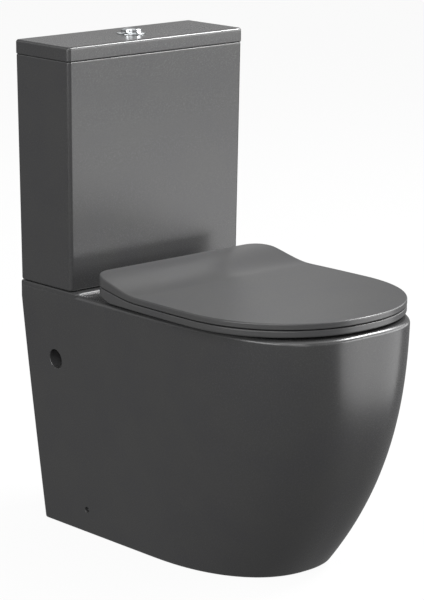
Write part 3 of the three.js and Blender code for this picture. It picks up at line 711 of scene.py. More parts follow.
@dataclass
class Pan:
    """The pan, one china casting. Sizes are millimetres; depths are distances from the wall."""

    rim: float = 428.0
    platform: float = 431.0
    platform_front: float = 149.0
    wall: float = 14.0
    slab: float = 30.0
    floor_half: float = 142.0
    top_half: float = 188.0
    rear_floor_half: float = 140.5
    floor_front: float = 509.5
    front: float = 652.0
    side_end: float = 290.0
    bottom_round: float = 5.0
    top_round: float = 8.0
    back_round: float = 3.0
    bowl_top_half: float = 140.0
    bowl_sump_half: float = 38.0
    bowl_bottom: float = 128.0
    bowl_wall: float = 10.0
    bowl_lip: float = 6.0
    trap_bore: float = 30.0
    trap_wall: float = 8.0
    trap_end: float = 32.0
    outlet_z: float = 180.0
    valve_centre: float = 72.5
    # Flush way: radius and bottom of the well, radius and height of the seat for the gasket
    # over it, and radius, bottom and top of the well's outside
    well: tuple[float, float] = (35.0, 358.0)
    well_seat: tuple[float, float] = (52.0, 402.0)
    well_outside: tuple[float, float, float] = (58.0, 344.0, 410.0)
    channel_z: float = 376.0
    channel_bore: float = 16.0
    channel_outside: float = 27.0
    # Heights between which the deck is drilled, and radius, x and depth of its holes
    drilled: tuple[float, float] = (390.0, 440.0)
    supply_hole: tuple[float, float, float] = (24.0, 126.0, 72.5)
    bolt_hole: tuple[float, float, float] = (6.0, 78.0, 72.5)
    hinge_hole: tuple[float, float, float] = (6.5, 78.0, 198.5)
    # Radius, depth and height of the holes in the sides, and radius, inner end and root of the
    # boss behind each access hole
    access: tuple[float, float, float] = (16.5, 83.0, 307.0)
    boss: tuple[float, float, float] = (27.0, 148.5, 168.0)
    fixing: tuple[float, float, float] = (5.0, 125.0, 45.0)

    def rear_half(self, z: float) -> float:
        """Half width of the shroud at the wall: it swells steadily, with a small shoulder on top.

        Args:
            z: height.

        Returns:
            Half width at the wall.
        """
        up = min(z / self.rim, 1.0)
        shoulder = 3.0 * ease((z - 404.0) / 26.0)
        return mix(self.rear_floor_half, self.top_half, swell(up, 1.1)) - shoulder

    def ring(self, z: float, inset: float, back: float = 0.0) -> Array:
        """Outline of the shroud at a height.

        A line along the wall, a small round, a straight side that widens to the front, and a
        superellipse round the front. The change from side to front is smoothed.

        Args:
            z: height.
            inset: how far the outline is drawn in.
            back: distance of its back from the wall.

        Returns:
            The ring's points.
        """
        up = float(np.clip(z / self.rim, 0.0, 1.0))
        half = mix(self.floor_half, self.top_half, swell(up, 2.19)) - inset
        rear = self.rear_half(max(z, 0.0)) - inset
        tip = mix(self.floor_front, self.front, swell(up, 2.5)) - inset
        blunt, square = mix(2.32, 2.56, up), mix(2.32, 3.5, up)
        angle = ease(np.linspace(0.0, 1.0, 500)) * math.pi / 2
        across = half * np.clip(np.cos(angle), 0.0, None) ** (2 / square)
        reach = mix(self.side_end, tip, np.sin(angle) ** (2 / blunt))
        across[-1] = 0.0
        side = np.array([[rear, back + self.back_round], [half, self.side_end]])
        line = evenly(np.vstack([evenly(side, 60)[:-1], np.stack([across, reach], axis=1)]), 104)
        window = np.hanning(13) / np.hanning(13).sum()
        padded = np.vstack([2 * line[0] - line[6:0:-1], line, line[-2:-8:-1] * [-1.0, 1.0]])
        soft = np.stack([np.convolve(column, window, "valid") for column in padded.T], axis=1)
        near = np.exp(-(((line[:, 1:] - self.side_end) / 55.0) ** 2))
        line = mix(line, soft, near)
        corner = quarter(self.back_round, 4)[:-1]
        turn = np.stack([rear - self.back_round + corner[:, 1], back + corner[:, 0]], axis=1)
        wall_line = np.linspace([0.0, back], turn[0], 12, endpoint=False)
        half_ring = np.vstack([wall_line, turn, line])
        return mirrored(half_ring, np.full(len(half_ring), float(z)))

    def shroud(self) -> Skin:
        """The outside: rounded at the foot, swelling up its sides, with a rounded rim.

        Returns:
            The closed skin.
        """
        foot = quarter(self.bottom_round, 6)[::-1]
        top = quarter(self.top_round, 8)
        walls = np.linspace(self.bottom_round, self.rim - self.top_round, 56)
        rings = [self.ring(self.bottom_round - rise, drawn) for drawn, rise in foot[:-1]]
        rings += [self.ring(z, 0.0) for z in walls]
        rings += [self.ring(self.rim - self.top_round + rise, drawn) for drawn, rise in top[1:]]
        return loft(np.array(rings))

    def hollow(self) -> Skin:
        """The inside of the shroud, open below."""
        heights = np.linspace(-3.0, self.rim - self.slab, 22)
        return loft(np.array([self.ring(z, self.wall, -6.0) for z in heights]))

    def pad(self) -> Skin:
        """Raised pad that carries the cistern, with a soft edge and a sweep down to the deck.

        Returns:
            The closed skin.
        """
        edge = self.platform - self.rim
        layers = [(self.rim - 14.0, 0.6, 0.0), (self.rim - 0.2, 0.6, -3.0), (self.rim + 0.25, 0.8, -1.6),
                  (self.rim + 0.8, 1.0, -0.7)]
        layers += [(self.rim + 0.8 + (edge - 0.8) * math.sin(a), 1.0 + 3.4 * (1 - math.cos(a)),
                    -0.7 + 3.4 * (1 - math.cos(a))) for a in np.linspace(0.15, math.pi / 2, 6)]
        rear = self.rear_half(self.rim)
        rings = []
        for z, side_in, front_in in layers:
            front = self.platform_front - front_in
            back_half = rear - side_in
            front_half = mix(rear, self.top_half, front / self.side_end) - side_in
            corner = quarter(8.0, 6)
            turn = np.stack([front_half - corner[:, 0], front - 8.0 + corner[:, 1]], axis=1)
            line = np.vstack([[[0.0, 0.0], [back_half, 0.0]], turn, [[0.0, front]]])
            rings.append(mirrored(line, np.full(len(line), z)))
        return loft(np.array(rings))

    def bowl_ring(self, depth: float, grow: float, z: float | None = None) -> Array:
        """Ellipse of the bowl at a depth from 0 at the rim to 1 in the sump.

        Args:
            depth: 0 at the rim, 1 in the sump.
            grow: how far the ellipse is drawn out.
            z: height, or None to take it from the depth.

        Returns:
            One row for each point.
        """
        left = 1.0 - depth
        half = mix(self.bowl_sump_half, self.bowl_top_half, left**0.75) + grow
        rear = mix(298.0, 262.0, left**0.8) - grow
        front = mix(392.0, 608.0, left**0.6) + grow
        angle = np.linspace(0.0, 2 * math.pi, 112, endpoint=False)
        height = mix(self.rim, self.bowl_bottom, depth) - grow * ease(depth) if z is None else z
        y = WALL - (rear + front) / 2 + (front - rear) / 2 * np.sin(angle)
        return np.stack([half * np.cos(angle), y, np.full_like(angle, height)], axis=1)

    def bowl_outside(self) -> Skin:
        """The bowl's outer skin, up into the deck.

        Returns:
            The closed skin.
        """
        depths = [*np.linspace(1.0, 0.0, 22)]
        rings = [self.bowl_ring(depth, self.bowl_wall) for depth in depths[:-1]]
        rings.append(self.bowl_ring(0.0, self.bowl_wall, self.rim - 4.0))
        return loft(np.array(rings))

    def bowl_inside(self) -> Skin:
        """The bowl's inside, with a rounded bottom and a rolled lip that opens out at the rim.

        Returns:
            The closed skin.
        """
        lip = quarter(self.bowl_lip, 8)
        start = self.bowl_lip / (self.rim - self.bowl_bottom)
        round_bottom = [
            self.bowl_ring(1.0, -14.0 * (1 - math.sin(a)), self.bowl_bottom + 8.4 * (1 - math.cos(a)))
            for a in np.linspace(0.1, math.pi / 2, 5)[:-1]
        ]
        body = [self.bowl_ring(depth, 0.0) for depth in np.linspace(0.97, start, 40)]
        mouth = [self.bowl_ring(start, drawn, self.rim - self.bowl_lip + rise) for drawn, rise in lip[1:]]
        mouth.append(self.bowl_ring(start, self.bowl_lip, self.rim + 6.0))
        return loft(np.array([*round_bottom, *body, *mouth]))

    def trap_path(self) -> Array:
        """Middle line of the trap: from the sump over the weir and down to the outlet.

        Returns:
            One row for each point, in the middle plane.
        """
        knots = [(352, 180), (312, 162), (272, 172), (242, 206), (216, 246), (180, 270), (144, 254),
                 (122, 218), (96, 190), (62, self.outlet_z), (26, self.outlet_z)]
        return cubic_through(np.array([[0.0, WALL - d, z] for d, z in knots]), 8)

    def channel(self, radius: float, start: float, end: float) -> Skin:
        """Level pipe forward under the deck."""
        skin = drum(radius, -end, -start, sides=40)
        return skin.aimed(np.array([0.0, 1.0, 0.0]), np.array([0.0, WALL, self.channel_z]))

    def boss_inside(self, side: int) -> Skin:
        """Thick ring inside the wall, round an access hole.

        Args:
            side: -1 left, 1 right.

        Returns:
            The closed skin.
        """
        radius, low, high = self.boss
        _, distance, z = self.access
        root = np.array([0.0, WALL - distance, z])
        return drum(radius, low, high, 3.0, 56).aimed(side * X_AXIS, root)

    def flank(self, distance: float, z: float) -> float:
        """Half width of the shroud on its straight side, at a depth and a height."""
        half = mix(self.floor_half, self.top_half, swell(z / self.rim, 2.19))
        return mix(self.rear_half(z), half, distance / self.side_end)

    def side_hole(self, side: int, radius: float, distance: float, z: float, edge: float) -> Skin:
        """Drill for a hole square to the side of the shroud, flared to round the hole's edge.

        Args:
            side: -1 left, 1 right.
            radius: radius of the hole.
            distance: distance from the wall.
            z: height of its axis.
            edge: radius of the rounded edge.

        Returns:
            The closed skin.
        """
        slope_d = (self.flank(distance + 1, z) - self.flank(distance - 1, z)) / 2
        slope_z = (self.flank(distance, z + 1) - self.flank(distance, z - 1)) / 2
        normal = np.array([side * 1.0, slope_d, -slope_z])
        flare = quarter(edge, 6)
        rim_line = np.stack([radius + flare[:, 0], flare[:, 1] - edge], axis=1)
        profile = np.vstack([[[0.0, -44.0], [radius, -44.0]], rim_line, [[radius + edge, 7.0], [0.0, 7.0]]])
        spot = np.array([side * self.flank(distance, z), WALL - distance, z])
        return turned(profile, 56).aimed(normal, spot)

    def deck_drill(self, hole: tuple[float, float, float], side: int) -> Skin:
        """Drill for an upright hole in the deck, on one side of the middle plane."""
        radius, x, distance = hole
        return drum(radius, *self.drilled).moved(side * x, WALL - distance)

    def build(self) -> list[Piece]:
        """Casts the pan and drills it.

        Returns:
            The one piece.
        """
        flush_y = WALL - self.valve_centre
        path = self.trap_path()
        radius, low, high = self.well_outside
        mouth = (WALL - self.trap_end, WALL + 5)
        steps = [
            (Work.TAKE, self.hollow()),
            (Work.ADD, self.pad()),
            (Work.ADD, self.bowl_outside()),
            (Work.ADD, tube(path, self.trap_bore + self.trap_wall, 40, X_AXIS)),
            (Work.ADD, drum(radius, low, high, 6.0).moved(y=flush_y)),
            (Work.ADD, self.channel(self.channel_outside, self.valve_centre, 266.0)),
            *((Work.ADD, self.boss_inside(side)) for side in SIDES.values()),
            (Work.TAKE, self.bowl_inside()),
            (Work.TAKE, tube(path, self.trap_bore, 40, X_AXIS)),
            (Work.TAKE, block((-60, 60), mouth, (130, 230))),
            (Work.TAKE, drum(*self.well_seat, self.drilled[1]).moved(y=flush_y)),
            (Work.TAKE, drum(*self.well, self.drilled[1]).moved(y=flush_y)),
            (Work.TAKE, self.channel(self.channel_bore, self.valve_centre, 292.0)),
            (Work.TAKE, self.deck_drill(self.supply_hole, 1)),
        ]
        for side in SIDES.values():
            steps += [
                (Work.TAKE, self.side_hole(side, *self.access, edge=1.6)),
                (Work.TAKE, self.side_hole(side, *self.fixing, edge=1.2)),
                (Work.TAKE, self.deck_drill(self.bolt_hole, side)),
                (Work.TAKE, self.deck_drill(self.hinge_hole, side)),
            ]
        piece = worked(new_piece("pan_casting", self.shroud()), steps)
        return [place_piece(piece, "pan", "pan_bowl")]


# ------------------------------------------------------------------ cistern


@dataclass
class Cistern:
    """Cistern shell and its lid. Sizes are millimetres; depths are distances from the wall."""

    bottom: float = 431.5
    top: float = 815.5
    lid_top: float = 840.0
    bottom_half: float = 185.0
    top_half: float = 189.5
    lid_half: float = 190.2
    bottom_front: float = 134.5
    top_front: float = 141.0
    lid_front: float = 141.7
    back: float = 0.5
    wall: float = 9.0
    floor: float = 10.0
    centre: float = 72.5
    front_round: float = 7.0
    back_round: float = 4.0
    foot_round: float = 4.5
    brim_round: float = 2.4
    inner_round: float = 6.0
    lid_edge: float = 5.0
    lid_foot: float = 2.2
    lid_hole: float = 18.6
    # Radius and x of the holes in the floor: flush valve, fill valve, bolts
    flush_hole: tuple[float, float] = (32.0, 0.0)
    fill_hole: tuple[float, float] = (11.0, 126.0)
    bolt_hole: tuple[float, float] = (5.5, 78.0)

    def ring(self, z: float, half: float, front: float, inset: float) -> Array:
        """Rounded rectangle at a height, drawn in by an inset.

        Args:
            z: height.
            half: half width.
            front: distance of the front from the wall.
            inset: how far it is drawn in.

        Returns:
            One row for each point.
        """
        side = half - inset
        ahead, behind = front - inset, self.back + inset
        fore = max(self.front_round - inset, 1.0)
        rear = max(self.back_round - inset, 1.0)
        line = rounded([
            (side, -behind, rear), (-side, -behind, rear), (-side, -ahead, fore), (side, -ahead, fore),
        ], 8)
        return np.stack([line[:, 0], WALL + line[:, 1], np.full(len(line), z)], axis=1)

    def section(self, z: float, inset: float) -> Array:
        """Ring of the shell, which widens a little towards its top.

        Args:
            z: height.
            inset: how far it is drawn in.

        Returns:
            One row for each point.
        """
        up = (z - self.bottom) / (self.top - self.bottom)
        half = mix(self.bottom_half, self.top_half, up)
        return self.ring(z, half, mix(self.bottom_front, self.top_front, up), inset)

    def lid_ring(self, z: float, inset: float) -> Array:
        """Ring of the lid."""
        return self.ring(z, self.lid_half, self.lid_front, inset)

    def floor_drill(self, hole: tuple[float, float], side: int, sides: int = 64) -> Skin:
        """Drill for a hole in the floor, on one side of the middle plane.

        Args:
            hole: its radius and its x.
            side: -1 left, 1 right.
            sides: number of its sides.

        Returns:
            The closed skin.
        """
        radius, x = hole
        drill = drum(radius, self.bottom - 11.5, self.bottom + 38.5, sides=sides)
        return drill.moved(side * x, WALL - self.centre)

    def shell(self) -> Piece:
        """Walls and floor, with soft edges and drilled for the valves and the bolts.

        Returns:
            The piece.
        """
        foot, brim = self.foot_round, self.brim_round
        rings = [self.section(self.bottom + foot - rise, drawn) for drawn, rise in quarter(foot, 8)[::-1]]
        rings += [self.section(z, 0.0) for z in np.linspace(self.bottom + foot, self.top - brim, 14)[1:]]
        rings += [self.section(self.top - brim + rise, drawn) for drawn, rise in quarter(brim, 6)[1:]]
        bench, bend = self.bottom + self.floor, self.inner_round
        inside = [self.section(bench + bend - rise, self.wall + drawn)
                  for drawn, rise in quarter(bend, 6)[::-1]]
        inside += [self.section(z, self.wall) for z in np.linspace(bench + bend, self.top + 5.0, 8)[1:]]
        steps = [
            (Work.TAKE, loft(np.array(inside))),
            (Work.TAKE, self.floor_drill(self.flush_hole, 1)),
            (Work.TAKE, self.floor_drill(self.fill_hole, 1)),
            *((Work.TAKE, self.floor_drill(self.bolt_hole, side, 32)) for side in SIDES.values()),
        ]
        piece = worked(new_piece("cistern_shell", loft(np.array(rings))), steps)
        return place_piece(piece, "cistern_body")

    def lid(self) -> Piece:
        """Lid with a rounded top edge, a hollow under it and a lip that locates it.

        Returns:
            The piece.
        """
        low = self.top + GAP
        outer, inner = 11.5, 19.0  # insets of the lip's two faces
        under, over = quarter(self.lid_foot, 6), quarter(self.lid_edge, 10)
        rings = [self.lid_ring(low + self.lid_foot - rise, drawn) for drawn, rise in under[::-1]]
        rings += [self.lid_ring(self.lid_top - self.lid_edge + rise, drawn) for drawn, rise in over]
        lip = [
            self.lid_ring(self.top - 9.0, outer + 0.8),
            self.lid_ring(self.top - 8.2, outer),
            self.lid_ring(low + 2, outer),
        ]
        bite = [
            self.lid_ring(self.top - 12.0, inner),
            self.lid_ring(self.lid_top - 13.0, inner),
            self.lid_ring(self.lid_top - 11.0, inner + 2.0),
        ]
        hole = drum(self.lid_hole, 790.0, 860.0).moved(y=WALL - self.centre)
        steps = [(Work.ADD, loft(np.array(lip))), (Work.TAKE, loft(np.array(bite))), (Work.TAKE, hole)]
        piece = worked(new_piece("cistern_cover", loft(np.array(rings))), steps)
        return place_piece(piece, "cistern_lid")

    def build(self) -> list[Piece]:
        """Shell and lid."""
        return [self.shell(), self.lid()]


# ------------------------------------------------------------------ flush button


@dataclass
class FlushButton:
    """Chrome bezel in the cistern lid with two buttons, one each side of a straight split."""

    flange: float = 24.5
    collar: float = 18.0
    bore: float = 16.0
    foot: float = 836.0
    top: float = 849.0
    lid_top: float = 840.0
    floor: float = 806.0
    split: float = 3.5
    rod_x: float = 7.6
    rod: float = 2.6
    travel: float = 6.0
    # Gap round the buttons, half the gap between them, and height of the springs' feet in the cup
    clearance: float = 0.4
    half_gap: float = 0.35
    coil_foot: float = 4.3
    # Springs: radius of the wire, radius of the coil, turns
    coil: tuple[float, float, float] = (0.5, 3.75, 7.0)
    centre: float = 72.5

    def bezel(self) -> Piece:
        """Thin flange, a waist and a raised collar, and a cup below with holes for the rods.

        Returns:
            The piece.
        """
        z = self.lid_top
        corners = [
            (0, self.floor, 0), (self.collar, self.floor, 1.0), (self.collar, z + GAP, 0.1),
            (self.flange, z + GAP, 0.3), (self.flange, z + 1.2, 0.6), (self.flange - 1.6, z + 1.9, 0.8),
            (self.collar + 0.6, z + 2.3, 0.7), (self.collar, z + 3.4, 0.5), (self.collar, z + 8, 1.1),
            (self.bore, z + 8, 0.5), (self.bore, self.floor + 4, 0.8), (0, self.floor + 4, 0),
        ]
        cup = turned(rounded(corners, 5), 96)
        holes = [(Work.TAKE, drum(3.2, 800.0, 815.0, sides=32).moved(s * self.rod_x)) for s in (-1, 1)]
        piece = worked(new_piece("bezel", cup), holes)
        piece.data.transform(translation(0.0, WALL - self.centre))
        return place_piece(piece, "button_bezel")

    def half_disc(self, side: int) -> Skin:
        """One button: a disc cut by the split, softly crowned, with a rolled edge.

        Args:
            side: -1 left, 1 right.

        Returns:
            The closed skin.
        """
        radius = self.bore - self.clearance
        edge = side * self.half_gap - self.split
        half = math.acos(edge / radius)
        start, end = (-half, half) if side > 0 else (half, 2 * math.pi - half)
        arc = np.linspace(start, end, 60)
        outline = np.stack([radius * np.cos(arc), radius * np.sin(arc)], axis=1)
        chord = evenly(np.array([outline[-1], outline[0]]), 24)[1:-1]
        line = np.vstack([outline, chord])
        middle = line.mean(axis=0)
        roll = quarter(1.0, 6)
        rings = []
        for drawn, z in [(0.6, self.foot), (0.0, self.foot + 0.6), (0.0, self.foot + 6.0),
                         *((drawn, self.top - 1.2 + rise) for drawn, rise in roll)]:
            share = 1.0 - drawn / (0.62 * radius)
            ring = middle + (line - middle) * share
            rings.append(np.column_stack([ring, np.full(len(ring), z)]))
        for share in (0.8, 0.55, 0.3, 0.1):
            ring = middle + (line - middle) * share * (1.0 - 1.0 / (0.62 * radius))
            dish = 0.2 * (1.0 - share**2)
            rings.append(np.column_stack([ring, np.full(len(ring), self.top - 0.2 + dish)]))
        return loft(np.array(rings))

    def spring(self, side: int) -> Skin:
        """Return spring: a helix whose coils close up at both ends.

        Args:
            side: -1 left, 1 right.

        Returns:
            The closed skin.
        """
        wire, radius, turns = self.coil
        share = np.linspace(0.0, 1.0, 260)
        rise = mix(share, ease(share), 0.55)
        angle = 2 * math.pi * turns * share
        z = mix(self.floor + self.coil_foot + wire, self.foot - GAP - wire, rise)
        x = side * self.rod_x + radius * np.cos(angle)
        y = WALL - self.centre + radius * np.sin(angle)
        return tube(np.stack([x, y, z], axis=1), wire, 10, Z_AXIS)

    def build(self) -> list[Piece]:
        """Bezel, buttons, rods and springs.

        Returns:
            The pieces.
        """
        made = [self.bezel()]
        y = WALL - self.centre
        for name, side in (("half", -1), ("full", 1)):
            cap = self.half_disc(side).moved(y=y)
            made.append(place_skin(f"{name}_cap", cap, f"{name}_flush_button"))
            rod = drum(self.rod, 714.0, self.foot - GAP, 0.6, 32).moved(side * self.rod_x, y)
            made.append(place_skin(f"{name}_push_rod", rod, f"{name}_flush_rod"))
            coil = place_skin(f"{name}_coil", self.spring(side), f"{name}_flush_spring")
            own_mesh(coil)
            made.append(coil)
        lock = flatted(collar(self.collar + GAP, 27.0, 810.0, 815.0, 0.8, 96), 25.6, 8)
        made.append(place_skin("bezel_lock_nut", lock.moved(y=y), "button_lock_nut"))
        return made


# ------------------------------------------------------------------ seat


@dataclass
class Seat:
    """Seat ring and lid. Sizes are millimetres; depths are distances from the wall."""

    rear: float = 190.0
    front: float = 648.0
    half: float = 197.0
    widest: float = 440.0
    corner: float = 42.0
    middle: float = 430.0
    ring_bottom: float = 432.0
    ring_top: float = 443.2
    lid_bottom: float = 444.9
    lid_top: float = 455.0
    raised_lid: float = 20.0
    raised_seam: float = 12.5
    raised_bottom: float = 8.0
    hole: tuple[float, float, float] = (106.0, 138.0, 438.0)
    lid_rim: float = 18.0
    lid_skin: float = 5.5
    # Hinge axis, depth and height; radius of the pin holes; radius of the ring's half round rear
    # edge; x range of the notches for the hinges
    axis: tuple[float, float] = (198.5, 448.0)
    pin: float = 5.3
    heel: float = 8.5
    notch: tuple[float, float] = (44.0, 95.5)
    # Radii of the ring's outer edges below and above, and of the edges of its opening
    ring_edges: tuple[float, float] = (2.8, 1.8)
    hole_edges: tuple[float, float] = (3.0, 6.0)
    # Radii of the lid's edges below and above
    lid_edges: tuple[float, float] = (1.5, 2.6)
    # x ranges of the pocket over a hinge's post, of the lug beside it and of the lug's bore
    pocket: tuple[float, float] = (62.0, 95.5)
    lug: tuple[float, float] = (47.0, 61.0)
    lug_bore: tuple[float, float] = (40.0, 66.0)
    # Buffers: x and depth
    ring_buffers: tuple[tuple[str, float, float], ...] = (("front", 68.0, 596.0), ("rear", 158.0, 330.0))
    lid_buffer: tuple[float, float] = (112.0, 540.0)

    def bowed(self, d: Array | float, inset: float) -> Array | float:
        """Half width of the bowed side at a depth, drawn in."""
        return self.half - 7.0 * ((self.widest - d) / 225.0) ** 2 - inset

    def outline(self, inset: float) -> Array:
        """Half outline, drawn in: a straight back, a round corner, a bowed side and an elliptic nose.

        Args:
            inset: how far it is drawn in.

        Returns:
            Rows of (x, depth), from the back to the nose.
        """
        radius = max(self.corner - inset, 6.0)
        rear = self.rear + inset
        corner_x = self.bowed(rear + radius, inset) - radius
        back = np.linspace([0.0, rear], [corner_x, rear], 22, endpoint=False)
        angle = np.linspace(0.0, math.pi / 2, 16)
        turn = np.stack([corner_x + radius * np.sin(angle), rear + radius * (1 - np.cos(angle))], axis=1)
        d = np.linspace(rear + radius, self.widest, 28)[1:-1]
        side = np.stack([self.bowed(d, inset), d], axis=1)
        angle = ease(np.linspace(0.0, 1.0, 400)) * math.pi / 2
        power = 2 / 2.15
        across = (self.half - inset) * np.clip(np.cos(angle), 0.0, None) ** power
        across[-1] = 0.0
        reach = mix(self.widest, self.front - inset, np.sin(angle) ** power)
        nose = evenly(np.stack([across, reach], axis=1), 64)
        return np.vstack([back, turn, side, nose])

    def rise(self, d: Array) -> Array:
        """How far the back of the lid has risen, from 0 on its flat to 1 at the hinges."""
        return ease((312.0 - d) / 122.0)

    def under_ring(self, d: Array) -> Array:
        """Height of the underside of the ring."""
        return self.ring_bottom + self.raised_bottom * ease((248.0 - d) / 40.0)

    def over_ring(self, d: Array) -> Array:
        """Height of the top of the ring."""
        return self.ring_top + self.raised_seam * self.rise(d)

    def under_lid(self, d: Array) -> Array:
        """Height of the lower edge of the lid."""
        return self.lid_bottom + self.raised_seam * self.rise(d)

    def over_lid(self, d: Array) -> Array:
        """Height of the top of the lid."""
        return self.lid_top + self.raised_lid * self.rise(d)

    def level(self, inset: float, height: Callable[[Array], Array], lift: float = 0.0,
              shrink: float = 1.0) -> Array:
        """Ring of the outline, drawn in and shrunk towards the middle, at a height given by depth.

        Args:
            inset: how far the outline is drawn in.
            height: gives a height from a depth.
            lift: added to that height.
            shrink: size of the ring, 1 being the whole outline.

        Returns:
            One row for each point.
        """
        line = self.outline(inset)
        line = np.stack([line[:, 0] * shrink, mix(self.middle, line[:, 1], shrink)], axis=1)
        return mirrored(line, height(line[:, 1]) + lift)

    def hole_level(self, grow: float, height: Callable[[Array], Array], lift: float = 0.0) -> Array:
        """Ring of the elliptic opening; its points follow those of the outline by angle.

        Args:
            grow: how far the opening is drawn out.
            height: gives a height from a depth.
            lift: added to that height.

        Returns:
            One row for each point.
        """
        line = self.outline(0.0)
        half, reach, centre = self.hole
        angle = np.arctan2(line[:, 1] - self.middle, line[:, 0])
        across = np.where(line[:, 0] == 0, 0.0, (half + grow) * np.cos(angle))
        depth = centre + (reach + grow) * np.sin(angle)
        return mirrored(np.stack([across, depth], axis=1), height(depth) + lift)

    def across(self, radius: float, x: tuple[float, float], sides: int = 48) -> Skin:
        """Bar along X about the hinge axis."""
        d, z = self.axis
        return drum(radius, x[0], x[1], sides=sides).aimed(X_AXIS, np.array([0.0, WALL - d, z]))

    def ring(self) -> Piece:
        """Seat ring: a crowned band with rounded edges, notched for the hinges.

        Returns:
            The piece.
        """
        under, over = self.ring_edges
        bore_under, bore_over = self.hole_edges
        low, high = quarter(under, 6), quarter(over, 6)
        rings = [self.level(0.4 + drawn, self.under_ring, under - rise) for drawn, rise in low[::-1]]
        rings += [self.level(0.4 + drawn, self.over_ring, rise - over) for drawn, rise in high]
        outer, inner = rings[-1], self.hole_level(bore_over, self.over_ring)
        for share in np.linspace(0.0, 1.0, 12)[1:-1]:
            crown = 4 * share * (1 - share) * 0.9
            rings.append(mix(outer, inner, share) + np.array([0.0, 0.0, crown * 0.6]))
        rings += [self.hole_level(drawn, self.over_ring, rise - bore_over)
                  for drawn, rise in quarter(bore_over, 8)[::-1]]
        rings += [self.hole_level(drawn, self.under_ring, bore_under - rise)
                  for drawn, rise in quarter(bore_under, 5)]
        d = self.axis[0]
        steps = []
        back = WALL - self.rear + 5
        for s in SIDES.values():
            low_x, high_x = sorted((s * self.notch[0], s * self.notch[1]))
            steps.append((Work.TAKE, block((low_x, high_x), (WALL - d - 17.0, back), (420, 480))))
            steps.append((Work.TAKE, self.across(self.pin, tuple(sorted((s * 90.0, s * 113.0))))))
        behind = new_piece("behind", block((-202, 202), (WALL - d, back), (420, 480)))
        worked(behind, [(Work.TAKE, self.across(self.heel, (-210.0, 210.0), 64))])
        band = new_piece("seat_band", loft(np.array(rings), loop=True))
        return place_piece(worked(band, [(Work.TAKE, behind), *steps]), "seat_ring")

    def lid(self) -> Piece:
        """Lid: a thin shell that rises to the hinges, with a rounded edge and a recess below.

        Returns:
            The piece.
        """
        under, over = self.lid_edges
        low, high = quarter(under, 6), quarter(over, 8)
        rings = [self.level(2.0, self.under_lid, 0.0, shrink)
                 for shrink in (0.3, 0.6, 0.8, 0.9, 0.95, 0.98)]
        rings += [self.level(drawn, self.under_lid, under - rise) for drawn, rise in low[::-1]]
        rings += [self.level(drawn, self.over_lid, rise - over) for drawn, rise in high]
        rings += [self.level(over, self.over_lid, 0.0, shrink) for shrink in np.linspace(1.0, 0.02, 46)[1:]]
        rim, skin = self.lid_rim, self.lid_skin
        recess = [
            self.level(rim - 0.8, self.under_lid, -14.0),
            self.level(rim - 0.8, self.under_lid),
            self.level(rim, self.under_lid, 0.8),
            self.level(rim, self.over_lid, -skin - 1.5),
        ]
        recess += [self.level(rim + 1.5, self.over_lid, -skin, shrink)
                   for shrink in np.linspace(1.0, 0.03, 32)]
        d, z = self.axis
        steps = [(Work.TAKE, loft(np.array(recess)))]
        for s in SIDES.values():
            pocket, lug, bore = (
                tuple(sorted((s * near, s * far))) for near, far in (self.pocket, self.lug, self.lug_bore)
            )
            steps.append((Work.TAKE, block(pocket, (WALL - d - 19, WALL - self.rear + 5), (430, 469))))
            steps.append((Work.ADD, block(lug, (WALL - d - 8, WALL - d + 8), (z - 2, 471))))
            steps.append((Work.ADD, self.across(8.0, lug)))
            steps.append((Work.TAKE, self.across(self.pin, bore)))
        piece = worked(new_piece("lid_shell", loft(np.array(rings))), steps)
        return place_piece(piece, "seat_lid")

    def build(self) -> list[Piece]:
        """Ring, lid and the buffers under them.

        Returns:
            The pieces.
        """
        made = [self.ring(), self.lid()]
        for place, x, d in self.ring_buffers:
            for name, s in SIDES.items():
                foot = drum(6.0, 428.3, self.ring_bottom - GAP, 1.2, 40).moved(s * x, WALL - d)
                made.append(place_skin(f"ring_buffer_{place}_{name}", foot, f"seat_buffer_{place}_{name}"))
        x, d = self.lid_buffer
        for name, s in SIDES.items():
            foot = drum(5.0, self.ring_top + GAP, self.lid_top - self.lid_skin - GAP, 1.2, 40)
            foot = foot.moved(s * x, WALL - d)
            made.append(place_skin(f"lid_pad_{name}", foot, f"lid_buffer_{name}"))
        return made


